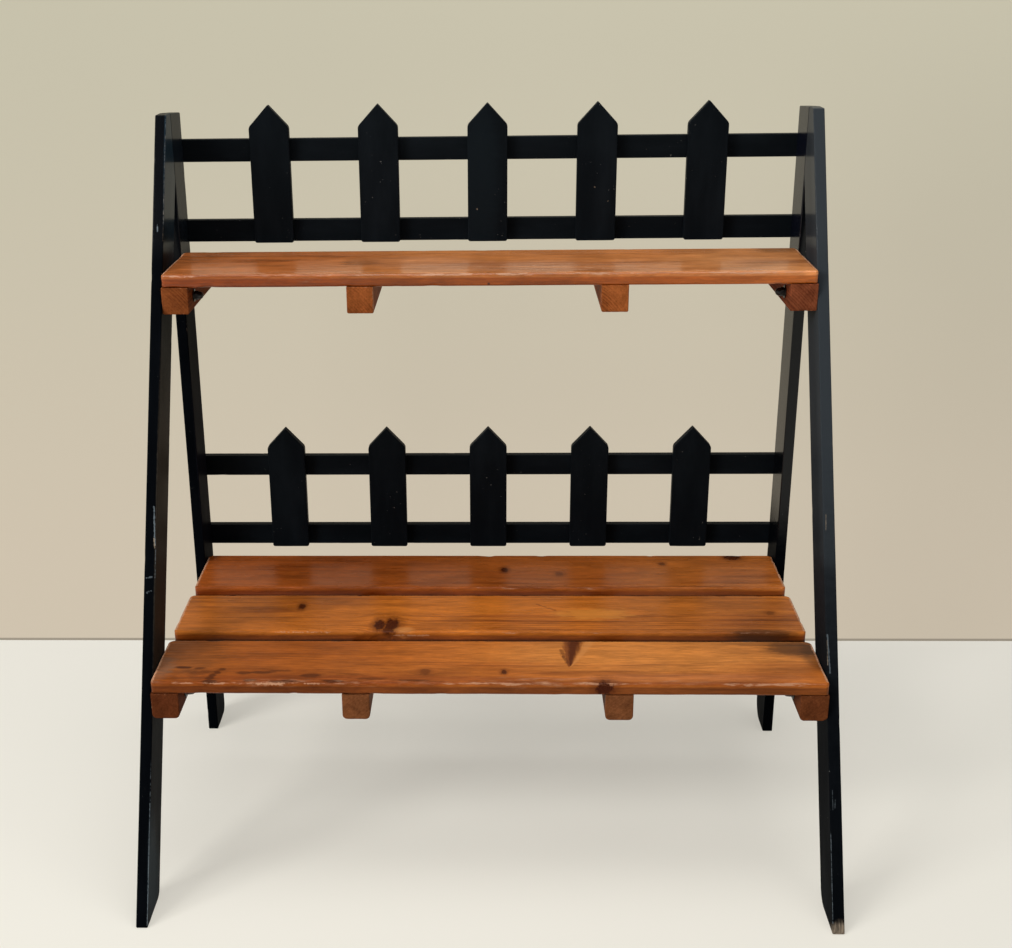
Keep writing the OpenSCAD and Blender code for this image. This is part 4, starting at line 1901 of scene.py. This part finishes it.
UPPER_BOARD = StainedPine(
    "upper_board_pine", (0.58, 0.203, 0.056), (0.27, 0.075, 0.018), (0.0, 0.012, -0.075), edge_reach=0.86,
    gloss=0.16, specular=0.36, painted_face_shade=(0.52, 0.32, 0.12), painted_arris_shade=(0.74, 0.66, 0.6), rear_wear=0.2,
    # Painted shade at the left, painted sheen at the right of the top and of the front face.
    tone_and_painted_light=patches(
        UPPER_TOP,
        (-0.4, 0.14, 0.3, 0.3, 0.1, 1.0, 0.3, (0.78, 0.66, 0.6)),
        (0.36, 0.13, 0.16, 0.1, 0.1, 0.9, 0.4, (1.15, 1.3, 1.5)),
    ) + patches(0.697, (0.36, 0.068, 0.26, 0.012, 0.02, 1.0, 0.4, (1.6, 1.7, 1.9))),
    stains_and_painted_light=patches(
        UPPER_TOP,
        (0.375, 0.21, 0.04, 0.03, 0.03, 0.5),
        (-0.16, 0.14, 0.03, 0.03, 0.03, 0.3),
        # A painted pale sheen across the top.
        (0.055, 0.11, 0.2, 0.04, 0.006, 0.16, 1.3, (0.6, 0.34, 0.22)),
    ) + patches(0.6931, (0.002, 0.0684, 0.0022, 0.004, 0.0018, 0.9, 0.5, (0.03, 0.01, 0.005))) + patches(
        UPPER_TOP,
        # Two painted pale sheens, then painted reflections of the four left pickets as dark bands.
        (-0.085, 0.14, 0.09, 0.05, 0.006, 0.14, 0.9, (0.6, 0.33, 0.21)),
        (0.33, 0.12, 0.07, 0.05, 0.006, 0.1, 0.9, (0.62, 0.36, 0.2)),
        (-0.2744, 0.16, 0.032, 0.09, 0.01, 0.12, 0.5, (0.32, 0.1, 0.02)),
        (-0.1345, 0.155, 0.034, 0.1, 0.01, 0.2, 0.5, (0.28, 0.085, 0.018)),
        (0.0021, 0.155, 0.028, 0.1, 0.01, 0.2, 0.5, (0.28, 0.085, 0.018)),
        (0.1285, 0.155, 0.032, 0.11, 0.01, 0.25, 0.5, (0.28, 0.085, 0.018)),
    ),
    rubbed=patches(
        UPPER_TOP,
        (-0.22, 0.078, 0.14, 0.012, 0.02, 0.9), (0.07, 0.1, 0.14, 0.028, 0.02, 0.9),
        (0.3, 0.078, 0.12, 0.01, 0.02, 0.8), (0.046, 0.109, 0.024, 0.009, 0.01, 1.0, 1.0),
        (0.09, 0.0775, 0.016, 0.008, 0.01, 1.0, 1.0),
    ),
    pale_lines=end_lines(0.0684, 0.2164, UPPER_TOP),
)
FRONT_FLECKS = (
    (-0.366, -0.1238, 0.0125, 0.004, 1.0), (-0.348, -0.125, 0.009, 0.003, 0.75),
    (-0.3195, -0.1285, 0.0052, 0.005, 0.75), (-0.3238, -0.135, 0.0055, 0.006, 0.8),
    (-0.3284, -0.143, 0.0058, 0.0065, 0.85), (-0.3305, -0.1515, 0.0065, 0.006, 0.85),
    (-0.3295, -0.1585, 0.0095, 0.0046, 1.0), (-0.344, -0.137, 0.014, 0.006, 0.4),
    (-0.2925, -0.1365, 0.012, 0.005, 0.75), (-0.269, -0.1355, 0.018, 0.0044, 0.8),
    (-0.246, -0.131, 0.015, 0.0036, 0.6), (-0.2108, -0.1442, 0.014, 0.0065, 0.75),
    (-0.281, -0.157, 0.0105, 0.0042, 1.0), (-0.2365, -0.1585, 0.021, 0.0042, 1.0),
    (-0.1855, -0.157, 0.016, 0.004, 0.95), (-0.14, -0.151, 0.03, 0.0042, 0.6),
    (-0.165, -0.139, 0.02, 0.0036, 0.45), (-0.09, -0.1555, 0.022, 0.0036, 0.7),
)
FRONT_BOARD = StainedPine(
    "front_board_pine", (0.5, 0.143, 0.021), (0.21, 0.048, 0.009), (0.0, -0.03, -0.06), edge_reach=0.78,
    streaks=0.38, contrast=0.38, gloss=0.34, specular=0.07, painted_face_shade=(0.47, 0.44, 0.6),
    painted_arris_shade=(0.76, 0.7, 0.82), rear_wear=0.05,
    knots=knots(
        (0.0199, -0.1329, 0.0035, 0.006, 0.02), (-0.0746, -0.1335, 0.007, 0.008, 0.02, 1.2, 0.45),
    ) + (KnotMark((0.1377, -0.1618, 0.2614), (0.0108, 0.012, 0.0095), 0.6, 1.0),),
    spikes=(
        SpikeMark((0.1115, -0.046, SHELF_TOP), (0.098, -0.1215, SHELF_TOP), 0.019),
        SpikeMark((0.1118, -0.046, SHELF_TOP), (0.0996, -0.119, SHELF_TOP), 0.0112, (0.07, 0.012, 0.0025), 0.0),
    ),
    checks=lines(
        SHELF_TOP,
        (0.1344, -0.1296, 0.3361, -0.1283, 0.0016, 0.5, 0.3),
        (0.0905, -0.0735, 0.0925, -0.092, 0.0044, 0.1, 0.6),
        (0.0925, -0.092, 0.0965, -0.108, 0.0044, 0.1, 0.6),
    ),
    # The left part is darkened as painted shade and the right part lightened and blued as painted sheen; the strips
    # near the front are toned.
    tone_and_painted_light=patches(
        SHELF_TOP,
        (-0.42, -0.1, 0.42, 0.3, 0.1, 1.0, 0.3, (0.68, 0.61, 0.57)),
        (-0.365, -0.09, 0.06, 0.07, 0.01, 0.8, 1.0, (0.68, 0.76, 1.05)),
        (0.22, -0.08, 0.26, 0.08, 0.1, 1.0, 0.4, (1.14, 1.38, 1.85)),
        (-0.14, -0.152, 0.3, 0.012, 0.02, 0.8, 0.8, (0.7, 0.6, 0.7)),
        (0.25, -0.148, 0.2, 0.014, 0.03, 0.8, 0.6, (0.88, 0.92, 1.5)),
        (-0.29, -0.143, 0.13, 0.022, 0.02, 0.8, 1.3, (0.72, 0.66, 0.62)),
    ),
    stains_and_painted_light=patches(
        SHELF_TOP,
        (0.38, -0.07, 0.05, 0.024, 0.03, 0.75),
        # A painted shadow of the right front leg over the board's right end.
        (0.396, -0.09, 0.018, 0.045, 0.03, 0.5),
        (0.35, -0.056, 0.07, 0.008, 0.02, 0.45),
        # A painted pale sheen at the board's left end.
        (-0.398, -0.125, 0.022, 0.04, 0.02, 0.3, 1.0, (0.16, 0.155, 0.12)),
        *((x, y, a, b, 0.008, strength, 1.4, (0.075, 0.015, 0.002)) for x, y, a, b, strength in FRONT_FLECKS),
    ),
    rubbed=patches(
        SHELF_TOP,
        (-0.25, -0.158, 0.08, 0.008, 0.008, 0.9), (-0.14, -0.159, 0.09, 0.006, 0.008, 0.7),
        (0.06, -0.154, 0.09, 0.012, 0.012, 0.8), (0.2, -0.157, 0.07, 0.007, 0.008, 0.7),
    ),
    pale_lines=(
        ScratchMark((-0.2728, -0.1612, 0.2658), (-0.2408, -0.161, 0.2658), 0.0036, 0.45, 1.2),
        *lines(
            0.2662, (-0.3278, -0.161, -0.3112, -0.161, 0.0022, 0.4, 0.9),
            (-0.2162, -0.161, -0.1985, -0.161, 0.0022, 0.4, 0.9),
        ),
        *end_lines(-0.1618, -0.0488, SHELF_TOP),
    ),
)
MIDDLE_BOARD = StainedPine(
    "middle_board_pine", (0.55, 0.155, 0.018), (0.225, 0.051, 0.0075), (0.0, 0.01, -0.05), ring_spacing=0.0046,
    edge_reach=0.4, gloss=0.3, specular=0.09, painted_face_shade=(0.5, 0.4, 0.42), foot_shade=0.85, rear_wear=0.05,
    knots=knots(
        (-0.123, -0.0035, 0.01, 0.0205, 0.03, 0.8, 1.0), (-0.1385, -0.0035, 0.0072, 0.0175, 0.03, 0.6, 1.0),
        (-0.2451, 0.0538, 0.0045, 0.0095, 0.03, 1.2, 0.95), (0.3646, 0.0357, 0.006, 0.006, 0.02, 1.2, 0.45),
    ) + (KnotMark((-0.127, -0.0175, 0.267), (0.0092, 0.0075, 0.009), 0.0, 0.9),),
    checks=lines(
        SHELF_TOP,
        (-0.346, 0.072, -0.316, 0.074, 0.002, 0.6, 0.7),
        (0.076, 0.053, 0.064, 0.062, 0.003, 0.3, 0.5),
        (0.088, 0.043, 0.078, 0.05, 0.003, 0.3, 0.5),
        (-0.3741, 0.0191, -0.2045, 0.0197, 0.0014, 0.5, 0.55),
        (-0.0617, 0.0187, 0.0923, 0.0013, 0.0014, 0.5, 0.45),
    ),
    # Painted shade, darker towards both ends.
    tone_and_painted_light=patches(
        SHELF_TOP,
        (-0.42, 0.03, 0.34, 0.3, 0.1, 1.0, 0.3, (0.8, 0.8, 0.9)),
        (0.3, 0.03, 0.2, 0.2, 0.1, 0.8, 0.3, (0.78, 0.82, 1.1)),
    ),
    stains_and_painted_light=patches(0.264, (0.345, -0.024, 0.05, 0.012, 0.03, 0.75)) + patches(
        SHELF_TOP,
        (0.138, 0.031, 0.06, 0.02, 0.02, 0.5, 1.5, (0.7, 0.27, 0.045)),
        (-0.106, -0.016, 0.014, 0.009, 0.02, 0.5, 1.2, (0.68, 0.28, 0.08)),
    ),
    pale_lines=(
        *lines(0.2665, (-0.27, -0.0215, -0.2, -0.0215, 0.0022, 0.62, 0.8)),
        *lines(0.263, (-0.12, -0.0225, -0.075, -0.0225, 0.0022, 0.5, 0.7)),
        *end_lines(-0.0228, 0.0902, SHELF_TOP),
    ),
)
REAR_BOARD = StainedPine(
    "rear_board_pine", (0.42, 0.108, 0.0165), (0.195, 0.04, 0.006), (0.0, -0.02, -0.055), edge_reach=0.4,
    gloss=0.28, specular=0.14, painted_face_shade=(0.62, 0.5, 0.55), foot_shade=0.8, rear_wear=0.05,
    knots=knots(
        (0.0228, 0.1764, 0.0052, 0.0085, 0.02, 1.2, 0.95), (0.344, 0.2215, 0.012, 0.009, 0.02, 1.2, 0.95),
        (0.2429, 0.198, 0.005, 0.006, 0.02, 1.2, 0.6), (0.0977, 0.1625, 0.006, 0.007, 0.02, 1.2, 0.5),
    ),
    checks=lines(
        SHELF_TOP,
        (-0.2616, 0.1655, -0.2497, 0.166, 0.0028, 0.2, 0.8),
        (-0.25, 0.1655, -0.16, 0.1645, 0.0016, 0.5, 0.5),
    ),
    # Painted shade at the left and painted sheen at the right.
    tone_and_painted_light=patches(
        SHELF_TOP,
        (-0.42, 0.17, 0.5, 0.3, 0.1, 1.0, 0.3, (0.85, 0.75, 0.7)),
        (0.36, 0.17, 0.2, 0.3, 0.1, 1.0, 0.3, (1.2, 1.35, 1.5)),
    ),
    pale_lines=end_lines(0.1162, 0.2292, SHELF_TOP),
)
UPPER_BATTENS = StainedPine(
    "upper_batten_pine", (0.295, 0.083, 0.022), (0.14, 0.033, 0.0085), (0.0, 0.075, -0.09), ring_spacing=0.0032,
    waviness=0.012, contrast=0.7, specular=0.001,
    # A painted highlight down an arris of the left inner batten's front face.
    pale_lines=(ScratchMark((-0.1398, 0.0692, 0.689), (-0.1398, 0.0692, 0.661), 0.0016, 0.3, 1.1),),
    # Painted light and shade on the battens' front faces: darker ends, a lighter right inner batten.
    tone_and_painted_light=patches(
        0.673,
        (0.385, 0.14, 0.06, 0.2, 0.1, 1.0, 0.1, (0.76, 0.76, 1.2)),
        (0.156, 0.14, 0.06, 0.2, 0.1, 1.0, 0.1, (1.22, 1.25, 1.25)),
        (-0.385, 0.14, 0.06, 0.2, 0.1, 1.0, 0.1, (0.7, 0.7, 0.75)),
    ),
)
LOWER_BATTENS = StainedPine(
    "lower_batten_pine", (0.2, 0.071, 0.0265), (0.085, 0.026, 0.0105), (0.0, -0.06, -0.08), ring_spacing=0.0032,
    waviness=0.012, contrast=0.28, edge_reach=0.5, specular=0.001,
    stains_and_painted_light=patches(0.24, (0.1417, -0.14, 0.006, 0.02, 0.022, 0.7, 0.8, (0.03, 0.012, 0.006))),
    # Painted shade on the end battens.
    tone_and_painted_light=patches(
        0.235,
        (0.385, 0.0, 0.06, 0.4, 0.1, 1.0, 0.1, (0.72, 0.6, 0.55)),
        (-0.385, 0.0, 0.06, 0.4, 0.1, 1.0, 0.1, (0.58, 0.45, 0.42)),
    ),
)
LEG_FINISHES = {
    "front_leg_left": BlackPaint(
        "front_left_paint", specular=0.006, glossy=sheen(-1.0, 0.22, 0.24),
        scratches=edge_lines(
            (-0.404, 0.412, -0.403, 0.402, 0.0016, 0.2, 0.8), (-0.4015, 0.87, -0.4015, 0.74, 0.0007, 0.4, 0.5),
        ),
        scuffs_and_highlights=edge_lines(
            (-0.4012, 0.13, -0.4012, 0.004, 0.0013, 0.0, 1.0), (-0.4012, 0.175, -0.4012, 0.12, 0.0011, 0.3, 0.7),
            (-0.4048, 0.447, -0.4028, 0.405, 0.0017, 0.35, 0.75), (-0.4015, 0.405, -0.4015, 0.37, 0.0011, 0.4, 0.7),
            (-0.4012, 0.88, -0.4012, 0.76, 0.0011, 0.25, 0.6), (-0.412, 0.3695, -0.4055, 0.371, 0.0022, 0.6, 0.5),
            (-0.411, 0.354, -0.4065, 0.356, 0.003, 0.6, 0.35), (-0.409, 0.76, -0.4085, 0.752, 0.0014, 0.3, 0.8),
        ),
        # Painted reflections on the inner face.
        painted_reflections=(
            inner_reflection(-1.0, 0.17, 0.86, 0.09, 0.22, (0.014, 0.03, 0.045)),
            inner_reflection(-1.0, -0.235, 0.06, 0.05, 0.11, (0.022, 0.033, 0.04)),
            inner_reflection(-1.0, -0.05, 0.42, 0.3, 0.25, (0.042, 0.034, 0.025)),
        ),
    ),
    "front_leg_right": BlackPaint(
        "front_right_paint", (0.0024, 0.003, 0.004), specular=0.002, glossy=sheen(1.0, 0.22, 0.26),
        scratches=edge_lines(
            (0.4046, 0.4371, 0.4041, 0.4211, 0.001, 0.35, 0.6), (0.4025, 0.3046, 0.4025, 0.2783, 0.001, 0.35, 0.6),
        ),
        scuffs_and_highlights=edge_lines(
            (0.4012, 0.104, 0.4012, 0.012, 0.001, 0.1, 0.8), (0.4045, 0.148, 0.4045, 0.128, 0.0009, 0.45, 0.35),
            (0.4075, 0.138, 0.407, 0.13, 0.0012, 0.4, 0.3), (0.403, 0.31, 0.405, 0.27, 0.0016, 0.2, 0.6),
            # A broad faint band down the upper front edge: painted sheen.
            (0.411, 0.89, 0.411, 0.4, 0.03, -5.0, 0.07),
        ),
        # A painted sheen over the leg's upper part.
        painted_reflections=(PatchMark((0.405, 0.1, 0.89), (2.0, 2.0, 0.68), 0.8, 0.2, (0.031, 0.036, 0.041)),),
        bare_places=(PatchMark((0.411, -0.274, 0.001), (0.014, 0.022, 0.0165), 1.0, 0.5),),
    ),
    "rear_leg_left": BlackPaint(
        "rear_left_paint", specular=0.002, glossy=sheen(-1.0, 0.26, 0.24),
        # Painted reflections on the inner face.
        painted_reflections=(
            inner_reflection(-1.0, 0.23, 0.86, 0.07, 0.22, (0.008, 0.012, 0.017)),
            inner_reflection(-1.0, 0.23, 0.42, 0.07, 0.2, (0.009, 0.009, 0.013)),
        ),
    ),
    "rear_leg_right": BlackPaint(
        "rear_right_paint", specular=0.002, glossy=sheen(1.0, 0.74, 0.5),
        # A painted reflection on the inner face.
        painted_reflections=(inner_reflection(1.0, 0.23, 0.84, 0.07, 0.24, (0.004, 0.005, 0.011)),),
    ),
}
FENCE_PAINT = BlackPaint(
    "fence_paint", (0.0042, 0.0058, 0.0074), edge_reach=0.08,
    # A painted reflection on the middle upper picket.
    painted_reflections=(PatchMark((-0.008, 0.251, 0.79), (0.03, 0.02, 0.11), 0.8, 0.5, (0.0075, 0.0112, 0.014)),),
    scratches=(
        ScratchMark((-0.0143, 0.251, 0.7539), (-0.0139, 0.251, 0.7535), 0.0016, 0.0, 0.8),
        ScratchMark((0.1402, 0.251, 0.7811), (0.1406, 0.251, 0.7807), 0.0016, 0.0, 0.8),
        ScratchMark((0.1577, 0.251, 0.7625), (0.1581, 0.251, 0.763), 0.0013, 0.0, 0.7),
    ),
)


def main() -> None:
    """Builds the stand's pieces in order."""
    logging.basicConfig(level=logging.INFO, format="%(name)s: %(message)s")
    PhotoCamera().build()
    Studio().build()
    LegFrame(LEG_FINISHES).build()
    Shelf("upper", [UPPER_BOARD], UPPER_BATTENS, seed=11).build()
    Shelf("lower", [FRONT_BOARD, MIDDLE_BOARD, REAR_BOARD], LOWER_BATTENS, seed=31, batten_corner=0.0058).build()
    paint = FENCE_PAINT.build()
    Fence("upper", paint, seed=81).build()
    Fence("lower", paint, seed=101).build()
    steel = Steel("blackened_steel", (0.03, 0.03, 0.032), (0.06, 0.055, 0.05), 0.3).build()
    zinc = Steel("zinc_plated_steel", (0.55, 0.55, 0.53), (0.42, 0.42, 0.41), 0.28).build()
    Fasteners(steel, zinc, Beech("dowel_beech").build()).build()


if __name__ == "__main__":
    main()
